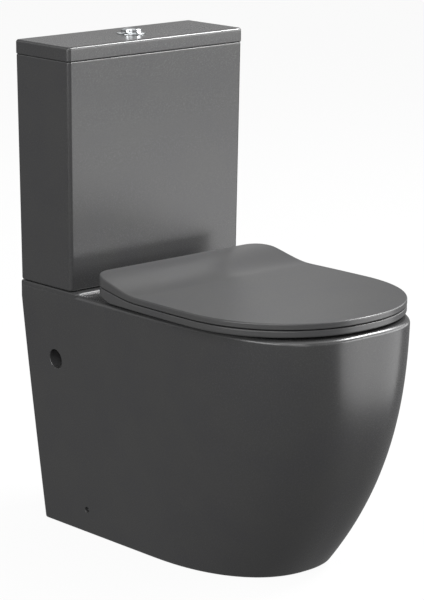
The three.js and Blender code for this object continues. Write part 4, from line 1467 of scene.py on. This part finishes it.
@dataclass
class Hinge:
    """One hinge of the seat: a deck cover, a post, a damped pin, a stud and its flanged nut."""

    name: str
    side: int
    x: float = 78.0
    from_wall: float = 198.5
    z: float = 448.0
    deck: float = 428.0
    deck_under: float = 398.0

    def build(self) -> list[Piece]:
        """Cover, post, pin, stud and nut.

        Returns:
            The pieces.
        """
        x, y = self.side * self.x, WALL - self.from_wall
        deck, under, top = self.deck, self.deck_under, self.z + 10
        cover = turned(rounded([
            (4.8, deck + GAP, 0.2), (17, deck + GAP, 0.4), (16.6, deck + 2, 1.2), (12, deck + 3, 1.5),
            (4.8, deck + 3, 0.2),
        ]), 72).moved(x, y)
        shape = turned(rounded([
            (0, deck + 3.3, 0), (9.5, deck + 3.3, 0.5), (9.5, top, 3.2), (0, top, 0),
        ], 8), 72).moved(x, y)
        hinge_axis = np.array([x, y, self.z])
        bore = drum(5.3, -30, 30, sides=48).aimed(X_AXIS, hinge_axis)
        post = worked(new_piece(f"post_{self.name}", shape), [(Work.TAKE, bore)])
        ends = sorted((self.side * -31.0, self.side * 33.0))
        pin = drum(5.0, *ends, 0.8, 48).aimed(X_AXIS, hinge_axis)
        stud = turned(rounded([
            (0, under - 38, 0), (4, under - 38, 0.8), (4, deck + 3, 0.5), (0, deck + 3, 0),
        ]), 40, Thread(under - 37, under + 8, 1.25, 0.5)).moved(x, y)
        nut = turned(rounded([
            (4.5, under - 16, 0.4), (11, under - 16, 1), (11, under - 5, 1.5), (15, under - 2, 0.8),
            (15, under - GAP, 0.4), (4.5, under - GAP, 0.3),
        ]), 48).moved(x, y)
        return [
            place_skin(f"deck_cover_{self.name}", cover, f"hinge_cover_{self.name}"),
            place_piece(post, f"hinge_post_{self.name}"),
            place_skin(f"damped_pin_{self.name}", pin, f"hinge_pin_{self.name}"),
            place_skin(f"hinge_stud_{self.name}", stud, f"seat_stud_{self.name}"),
            place_skin(f"stud_nut_{self.name}", nut, f"seat_nut_{self.name}"),
        ]


# ------------------------------------------------------------------ valves


@dataclass
class FlushValve:
    """Flush valve in the middle of the cistern. Sizes are millimetres."""

    centre: float = 72.5
    bench: float = 441.5
    seat: float = 449.5
    tail: float = 30.0
    bore: float = 25.0
    tube: float = 20.0
    tower: tuple[float, float] = (36.0, 39.0)
    head: float = 700.0
    rod_x: float = 7.6

    def window(self, turn: int) -> Skin:
        """Upright slot with round ends, right through the tower.

        Args:
            turn: 0 for the slot along X, 1 for the slot along Y.

        Returns:
            The closed skin.
        """
        half, low, high = 15.0, self.bench + 18.3, self.bench + 84.3
        line = rounded([(-half, low, half), (half, low, half), (half, high, half), (-half, high, half)], 10)
        rings = np.array([np.column_stack([line, np.full(len(line), reach)]) for reach in (-60.0, 60.0)])
        return loft(rings).aimed(np.roll(X_AXIS, turn), np.zeros(3))

    def build(self) -> list[Piece]:
        """Base, nut, gaskets, tower, head and the tube that lifts, with its seal.

        Returns:
            The pieces.
        """
        bench, tail, bore = self.bench, self.tail, self.bore
        y = WALL - self.centre
        foot = self.seat + GAP
        base = rounded([
            (bore, 397, 1), (tail, 397, 1), (tail, bench + 3.2, 0.4), (45, bench + 3.2, 0.8),
            (45, bench + 7, 1.2), (39, bench + 7, 1), (39, bench + 12, 0.8), (36, bench + 12, 0.8),
            (36, self.seat, 0.6), (bore, self.seat, 1.2),
        ])
        base = turned(base, 96, Thread(399.0, 431.0, 4.0, 1.1))
        nut = flatted(collar(tail + GAP, 42, 421, 431.2, 1.0, 120), 39.9, 10)
        gasket = turned(rounded([
            (31, 402.5, 1), (49, 402.5, 2), (50, 409, 2), (46, 420.6, 2), (31, 420.6, 1),
        ]), 96)
        low, top = bench + 12 + GAP, self.head
        hollow, outside = self.tower
        groove = outside - 0.7
        wall = rounded([
            (hollow, low, 0.5), (outside, low, 0.5), (outside, top - 22, 0.3), (groove, top - 21, 0.3),
            (groove, top - 16, 0.3), (outside, top - 15, 0.3), (outside, top, 0.5), (hollow, top, 0.5),
        ])
        windows = [(Work.TAKE, self.window(turn)) for turn in (0, 1)]
        tower = worked(new_piece("tower", turned(wall, 96)), windows)
        tower.data.transform(translation(0.0, y))
        cap = rounded([
            (hollow, top + GAP, 0.4), (outside, top + GAP, 0.4), (outside, top + 26, 1), (37, top + 30, 2),
            (0, top + 30, 0), (0, top + 27, 0), (hollow, top + 27, 2),
        ])
        guides = [(Work.TAKE, drum(3.2, top + 20, top + 40, sides=32).moved(s * self.rod_x))
                  for s in SIDES.values()]
        cap = worked(new_piece("valve_cap", turned(cap, 96)), guides)
        cap.data.transform(translation(0.0, y))
        washer = collar(tail + GAP, 45, bench + GAP, bench + 2.9, 0.6, 72)
        lift = collar(self.tube - 2.5, self.tube, foot, 640, 0.6, 72)
        seal = collar(self.tube + GAP, 30, foot, foot + 3, 0.8, 72)
        retainer = flatted(collar(self.tube + GAP, 28, foot + 3.3, self.seat + 9, 0.8, 96), 27.0, 12)
        return [
            place_skin("valve_base", base.moved(y=y), "flush_valve_base"),
            place_skin("valve_base_washer", washer.moved(y=y), "flush_valve_washer"),
            place_skin("valve_back_nut", nut.moved(y=y), "flush_valve_back_nut"),
            place_skin("coupling_gasket", gasket.moved(y=y), "close_coupling_gasket"),
            place_piece(tower, "flush_valve_tower"),
            place_piece(cap, "flush_valve_head"),
            place_skin("lifting_tube", lift.moved(y=y), "overflow_tube"),
            place_skin("seal_ring", seal.moved(y=y), "flush_seal"),
            place_skin("seal_retainer", retainer.moved(y=y), "flush_seal_retainer"),
        ]


@dataclass
class FillValve:
    """Bottom-entry fill valve with a float cup and its lever. Sizes are millimetres."""

    centre: float = 72.5
    x: float = 126.0
    bench: float = 441.5
    shank: float = 10.0
    column: float = 13.0
    top: float = 715.0
    float_low: float = 622.0
    float_high: float = 684.0
    lever: float = 750.0
    pivot: float = -6.0
    reach: float = 22.0

    def moved(self, skin: Skin) -> Skin:
        """The skin, shifted from the middle plane to the valve's axis."""
        return skin.moved(self.x, WALL - self.centre)

    def lever_skin(self) -> Skin:
        """Flat bar with round ends, its edges softened.

        Returns:
            The closed skin.
        """
        line = rounded([(-33, -4, 3.9), (16, -4, 3.9), (16, 4, 3.9), (-33, 4, 3.9)], 10)
        edge = quarter(0.6, 4)
        low, high = self.lever - 2, self.lever + 2
        levels = [(low + 0.6 - rise, drawn) for drawn, rise in edge[::-1]]
        levels += [(high - 0.6 + rise, drawn) for drawn, rise in edge]
        middle = line.mean(axis=0)
        scale = np.array([24.5, 4.0])
        rings = [np.column_stack([middle + (line - middle) * (1 - drawn / scale), np.full(len(line), z)])
                 for z, drawn in levels]
        return loft(np.array(rings))

    def build(self) -> list[Piece]:
        """Body, nut, washer, head, float, link rod, lever and pin.

        Returns:
            The pieces.
        """
        bench, top = self.bench, self.top
        body = rounded([
            (5, 372, 0.8), (self.shank, 372, 0.8), (self.shank, bench + 3.2, 0.4), (20, bench + 3.2, 0.8),
            (20, bench + 8, 2), (self.column, bench + 10, 2), (self.column, top, 0.8), (5, top, 0.5),
        ])
        body = turned(body, 72, Thread(374.0, 436.0, 1.8, 0.7))
        cup = rounded([
            (14.2, self.float_low + 3, 0.4), (29.5, self.float_low + 3, 1), (29.5, self.float_low, 0.6),
            (32, self.float_low, 0.8), (32, self.float_high, 3), (14.2, self.float_high, 0.6),
        ])
        head_top = self.lever - 12
        cap = rounded([
            (0, top + GAP, 0), (18, top + GAP, 0.6), (20, top + 3, 1), (20, head_top - 4, 2),
            (16, head_top, 2), (0, head_top, 0),
        ])
        along, up = (self.pivot - 4, self.pivot + 4), (head_top - 4, self.lever + 5)
        ears = [(Work.ADD, block(along, (s * 6 - 1.5, s * 6 + 1.5), up)) for s in SIDES.values()]
        axle = np.array([self.pivot, 0.0, self.lever])
        bore = (Work.TAKE, drum(1.8, -20, 20, sides=32).aimed(Y_AXIS, axle))
        end = self.pivot - self.reach
        head = worked(new_piece("valve_top", turned(cap, 72)), [*ears, bore])
        slot = [(Work.TAKE, drum(3.4, self.lever - 10, self.lever + 10, sides=32).moved(end)),
                (Work.TAKE, block((end - 12, end), (-2.2, 2.2), (self.lever - 10, self.lever + 10)))]
        arm = worked(new_piece("balance_lever", self.lever_skin()), [*slot, bore])
        for piece in (head, arm):
            piece.data.transform(translation(self.x, WALL - self.centre))
        nut = flatted(collar(self.shank + GAP, 19, 422, 431.2, 1.0, 96), 16.5, 6)
        washer = collar(self.shank + GAP, 20, bench + GAP, bench + 2.9, 0.6)
        rod = drum(1.5, self.float_high + GAP, self.lever + 14, 0.5, 24).moved(end)
        pin = drum(1.5, -8.5, 8.5, 0.4, 32).aimed(Y_AXIS, axle)
        return [
            place_skin("fill_column", self.moved(body), "fill_valve_body"),
            place_skin("fill_washer", self.moved(washer), "fill_valve_washer"),
            place_skin("fill_back_nut", self.moved(nut), "fill_valve_back_nut"),
            place_piece(head, "fill_valve_head"),
            place_skin("float_drum", self.moved(turned(cup, 80)), "float_cup"),
            place_skin("link_rod", self.moved(rod), "float_link_rod"),
            place_piece(arm, "float_lever"),
            place_skin("lever_pin", self.moved(pin), "float_lever_pin"),
        ]


# ------------------------------------------------------------------ fixings


def screw(head: float, shank: float, low: float, high: float, thread: Thread) -> Piece:
    """Slotted pan-head screw that points down, as a piece on the Z axis.

    Args:
        head: radius of its head.
        shank: radius of its shank.
        low: height of its tip.
        high: height of the underside of its head.
        thread: its thread.

    Returns:
        The piece.
    """
    profile = rounded([
        (0, low, 0), (shank * 0.8, low, 0.3), (shank, low + 1.2, 0.3), (shank, high, 0.2),
        (head, high, 0.4), (head, high + 3, 1.4), (head * 0.6, high + 5, 2), (0, high + 5, 0),
    ])
    slot = block((-head, head), (-head * 0.12, head * 0.12), (high + 3.2, high + 7))
    return worked(new_piece("screw", turned(profile, 56, thread)), [(Work.TAKE, slot)])


@dataclass
class CisternBolt:
    """Bolt that holds the cistern down, with its rubber cone, washer and wing nut."""

    name: str
    side: int
    x: float = 78.0
    centre: float = 72.5
    bench: float = 441.5
    under: float = 398.0
    wing: float = 19.0

    def wings(self) -> Skin:
        """The two wings of the nut: one flat plate that droops towards its ends.

        Returns:
            The closed skin.
        """
        span = np.linspace(-self.wing, self.wing, 41)
        drop = 6.0 * (1 - np.abs(span) / self.wing) ** 1.5
        lower = np.stack([span, self.under - 24 + drop], axis=1)
        upper = np.stack([span, self.under - 9.5 - 5.0 * (np.abs(span) / self.wing) ** 4], axis=1)
        line = np.vstack([lower, upper[::-1]])
        plate = loft(np.array([np.stack([line[:, 0], np.full(len(line), d), line[:, 1]], axis=1)[::-1]
                               for d in (2.0, -2.0)]))
        return Skin(plate.points, [part[:, ::-1] for part in plate.faces])

    def build(self) -> list[Piece]:
        """Bolt, cone, washer and wing nut.

        Returns:
            The pieces.
        """
        x, y = self.side * self.x, WALL - self.centre
        shift = translation(x, y)
        low = self.under - 36
        bolt = screw(9.0, 4.0, low, self.bench + 6.6, Thread(low + 1, self.under + 6, 1.25, 0.5))
        bolt.name = f"cistern_bolt_{self.name}"
        bolt.data.transform(shift)
        low, high = self.bench + GAP, self.bench + 6.3
        cone = turned(rounded([(4.3, low, 0.5), (13, low, 0.8), (10, high, 1), (4.3, high, 0.5)]), 56)
        washer = collar(4.3, 13, self.under - 8.3, self.under - GAP, 1.0, 56).moved(x, y)
        nut = worked(
            new_piece(f"wing_nut_{self.name}", drum(9, self.under - 17, self.under - 8.6, 1.2, 56)),
            [(Work.ADD, self.wings()), (Work.TAKE, drum(4.3, self.under - 40, self.under, sides=32))],
        )
        nut.data.transform(shift)
        return [
            place_piece(bolt, f"tank_bolt_{self.name}"),
            place_skin(f"bolt_cone_{self.name}", cone.moved(x, y), f"tank_bolt_seal_{self.name}"),
            place_skin(f"bolt_washer_{self.name}", washer, f"tank_bolt_washer_{self.name}"),
            place_piece(nut, f"tank_wing_nut_{self.name}"),
        ]


@dataclass
class FloorFixing:
    """Bent steel bracket on the floor and the screw that comes through the shroud into it."""

    name: str
    side: int
    from_wall: float = 125.0
    z: float = 45.0
    outer: float = 127.0
    thick: float = 4.0
    half: float = 15.0

    def bracket(self) -> Piece:
        """Angle with a round inside bend, a screw hole and an anchor hole.

        Returns:
            The piece.
        """
        edge, thick = self.outer, self.thick
        line = rounded([
            (edge - 38, 0, 0.5), (edge, 0, 4.5), (edge, 62, 3), (edge - thick, 62, 0.5),
            (edge - thick, thick, 1.5), (edge - 38, thick, 0.5),
        ])
        if self.side < 0:
            line = line[::-1] * [-1.0, 1.0]
        y = WALL - self.from_wall
        rings = [np.stack([line[:, 0], np.full(len(line), y + reach), line[:, 1]], axis=1)
                 for reach in (self.half, -self.half)]
        hole = drum(3.1, -200, 200, sides=32).aimed(X_AXIS, np.array([0.0, y, self.z]))
        anchor = drum(4.5, -5, 10, sides=32).moved(self.side * (edge - 22), y)
        steps = [(Work.TAKE, hole), (Work.TAKE, anchor)]
        return worked(new_piece(f"angle_bracket_{self.name}", loft(np.array(rings))), steps)

    def build(self) -> list[Piece]:
        """Bracket and screw.

        Returns:
            The pieces.
        """
        fixing = screw(4.4, 2.7, -24.0, 5.0, Thread(-23.0, 4.0, 1.6, 0.4))
        fixing.name = f"shroud_screw_{self.name}"
        turn = Matrix.Rotation(self.side * math.pi / 2, 4, "Y")
        place = translation(self.side * 132.0, WALL - self.from_wall, self.z)
        fixing.data.transform(place @ turn)
        return [
            place_piece(self.bracket(), f"floor_bracket_{self.name}"),
            place_piece(fixing, f"side_screw_{self.name}"),
        ]


@dataclass
class OutletSeal:
    """Lipped rubber seal on the outlet spigot."""

    inner: float = 39.0
    outer: float = 47.0
    from_wall: float = 42.0
    z: float = 180.0

    def build(self) -> list[Piece]:
        """Ring with three lips round its outside.

        Returns:
            The piece, alone in its list.
        """
        valley = self.outer - 2.5
        lips = []
        for at in (-6.0, 0.0, 6.0):
            lips += [(valley, at - 3.0, 0.6), (self.outer, at, 0.6), (valley, at + 2.9, 0.6)]
        line = rounded([(self.inner, -9, 0.8), *lips, (self.inner, 9, 0.8)], 4)
        aim = np.array([0.0, WALL - self.from_wall, self.z])
        seal = turned(line, 96).aimed(Y_AXIS, aim)
        return [place_skin("spigot_seal", seal, "outlet_seal")]


# ------------------------------------------------------------------ studio


def bearing(azimuth: float, elevation: float) -> Vector:
    """Unit vector from the object towards an azimuth and an elevation in degrees.

    Args:
        azimuth: 0 in front, 90 on the right.
        elevation: above the floor.

    Returns:
        The vector.
    """
    turn, tilt = math.radians(azimuth), math.radians(elevation)
    level = math.cos(tilt)
    return Vector((math.sin(turn) * level, -math.cos(turn) * level, math.sin(tilt)))


@dataclass(frozen=True)
class SoftBox:
    """Rectangular light that faces the object.

    Its azimuth is in degrees round the object, 0 in front and 90 on the right, and its elevation in
    degrees above the floor. Its distance and size are metres. Its radiance is the brightness of its
    face; 1 is the white of the surround.
    """

    name: str
    azimuth: float
    elevation: float
    distance: float
    size: tuple[float, float]
    radiance: float

    def build(self) -> None:
        """Adds the light to the scene."""
        out = bearing(self.azimuth, self.elevation)
        data = bpy.data.lights.new(self.name, "AREA")
        data.shape = "RECTANGLE"
        data.size, data.size_y = self.size
        data.energy = self.radiance * math.pi * self.size[0] * self.size[1]
        light = bpy.data.objects.new(self.name, data)
        bpy.context.scene.collection.objects.link(light)
        light.location = Vector((0.0, 0.0, 0.42)) + out * self.distance
        light.rotation_mode = "QUATERNION"
        light.rotation_quaternion = (-out).to_track_quat("-Z", "Y")
        light.visible_camera = False


@dataclass
class Studio:
    """Pale floor, soft boxes and the camera. Lengths are metres."""

    fill: float = 0.24
    lens: float = 160.25
    sensor: float = 36.0
    azimuth: float = -41.41
    elevation: float = 13.25
    distance: float = 4.408
    target: tuple[float, float, float] = (-0.0195, 0.026, 0.4223)
    boxes: tuple[SoftBox, ...] = (
        SoftBox("key", 47, 10, 4.0, (3.2, 1.3), 7.6),
        SoftBox("key_side", 84, 10, 4.0, (1.8, 1.3), 3.2),
        SoftBox("key_above", 75, 36, 4.0, (3.2, 1.7), 3.6),
        SoftBox("edge", 70, 47, 4.0, (1.3, 0.7), 60.0),
        SoftBox("bounce", 46, -15, 3.2, (2.8, 1.1), 2.6),
        SoftBox("front", 0, 25, 4.0, (2.0, 1.6), 0.8),
        SoftBox("left_front", -45, 12, 4.0, (2.0, 1.6), 2.9),
        SoftBox("left", -85, 12, 4.0, (2.0, 1.6), 6.6),
        SoftBox("left_above", -60, 42, 4.0, (2.4, 1.8), 3.9),
        SoftBox("overhead", 0, 82, 3.2, (2.6, 2.6), 1.4),
        SoftBox("back_right", 150, 30, 4.0, (2.4, 2.0), 0.6),
        SoftBox("back_left", -140, 30, 4.0, (2.4, 2.0), 0.6),
    )

    def camera(self) -> None:
        """Camera on a sphere about its target."""
        back = bearing(self.azimuth, self.elevation)
        data = bpy.data.cameras.new("camera")
        data.lens, data.sensor_width, data.sensor_fit = self.lens, self.sensor, "AUTO"
        data.clip_end = 200.0
        camera = bpy.data.objects.new("camera", data)
        bpy.context.scene.collection.objects.link(camera)
        camera.location = Vector(self.target) + back * self.distance
        camera.rotation_mode = "QUATERNION"
        camera.rotation_quaternion = (-back).to_track_quat("-Z", "Y")
        bpy.context.scene.camera = camera

    def floor(self) -> None:
        """Wide pale matt floor."""
        corners = 60.0 / METRE * np.array([[-1, -1], [1, -1], [1, 1], [-1, 1]])
        mesh = bpy.data.meshes.new("floor")
        mesh.from_pydata([(x * METRE, y * METRE, 0.0) for x, y in corners], [], [(0, 1, 2, 3)])
        floor = bpy.data.objects.new("floor", mesh)
        bpy.context.scene.collection.objects.link(floor)
        made = bpy.data.materials.new("pale_paper_sweep")
        made.use_nodes = True
        made.node_tree.nodes.clear()
        shader = add_node(made.node_tree, "ShaderNodeBsdfPrincipled", {
            "Base Color": linear("#3A3A3A"), "Roughness": 0.9, "Specular IOR Level": 0.0,
            "Emission Color": linear("#FFFFFF"), "Emission Strength": 0.94,
        })
        add_node(made.node_tree, "ShaderNodeOutputMaterial", {"Surface": shader.outputs[0]})
        mesh.materials.append(made)
        floor.visible_diffuse = False
        floor.visible_glossy = False
        floor.visible_shadow = False

    def world(self, fill: float) -> None:
        """Even fill light, with a white surround for the camera.

        Args:
            fill: strength of the even light.
        """
        world = bpy.data.worlds.new("studio")
        bpy.context.scene.world = world
        world.use_nodes = True
        tree = world.node_tree
        tree.nodes.clear()
        seen = add_node(tree, "ShaderNodeLightPath").outputs["Is Camera Ray"]
        fill_light = add_node(tree, "ShaderNodeBackground", {"Color": linear("#FFFFFF"), "Strength": fill})
        surround = add_node(tree, "ShaderNodeBackground", {"Color": linear("#FFFFFF"), "Strength": 1.0})
        blend = add_node(tree, "ShaderNodeMixShader", {
            0: seen, 1: fill_light.outputs[0], 2: surround.outputs[0],
        })
        add_node(tree, "ShaderNodeOutputWorld", {"Surface": blend.outputs[0]})

    def build(self) -> None:
        """Sets the whole studio up."""
        bpy.context.scene.view_settings.view_transform = "Standard"
        self.camera()
        self.floor()
        self.world(self.fill)
        for box in self.boxes:
            box.build()


def main() -> None:
    """Builds every sub-assembly in order."""
    logging.basicConfig(level=logging.INFO, format="%(message)s")
    pairs = [kind(name, side) for kind in (Hinge, CisternBolt, FloorFixing) for name, side in SIDES.items()]
    single = (Pan(), Cistern(), FlushButton(), Seat(), FlushValve(), FillValve())
    for assembly in (*single, *pairs, OutletSeal()):
        for piece in assembly.build():
            log.info("%s: %d faces", piece.name, len(piece.data.polygons))
    Studio().build()


if __name__ == "__main__":
    main()
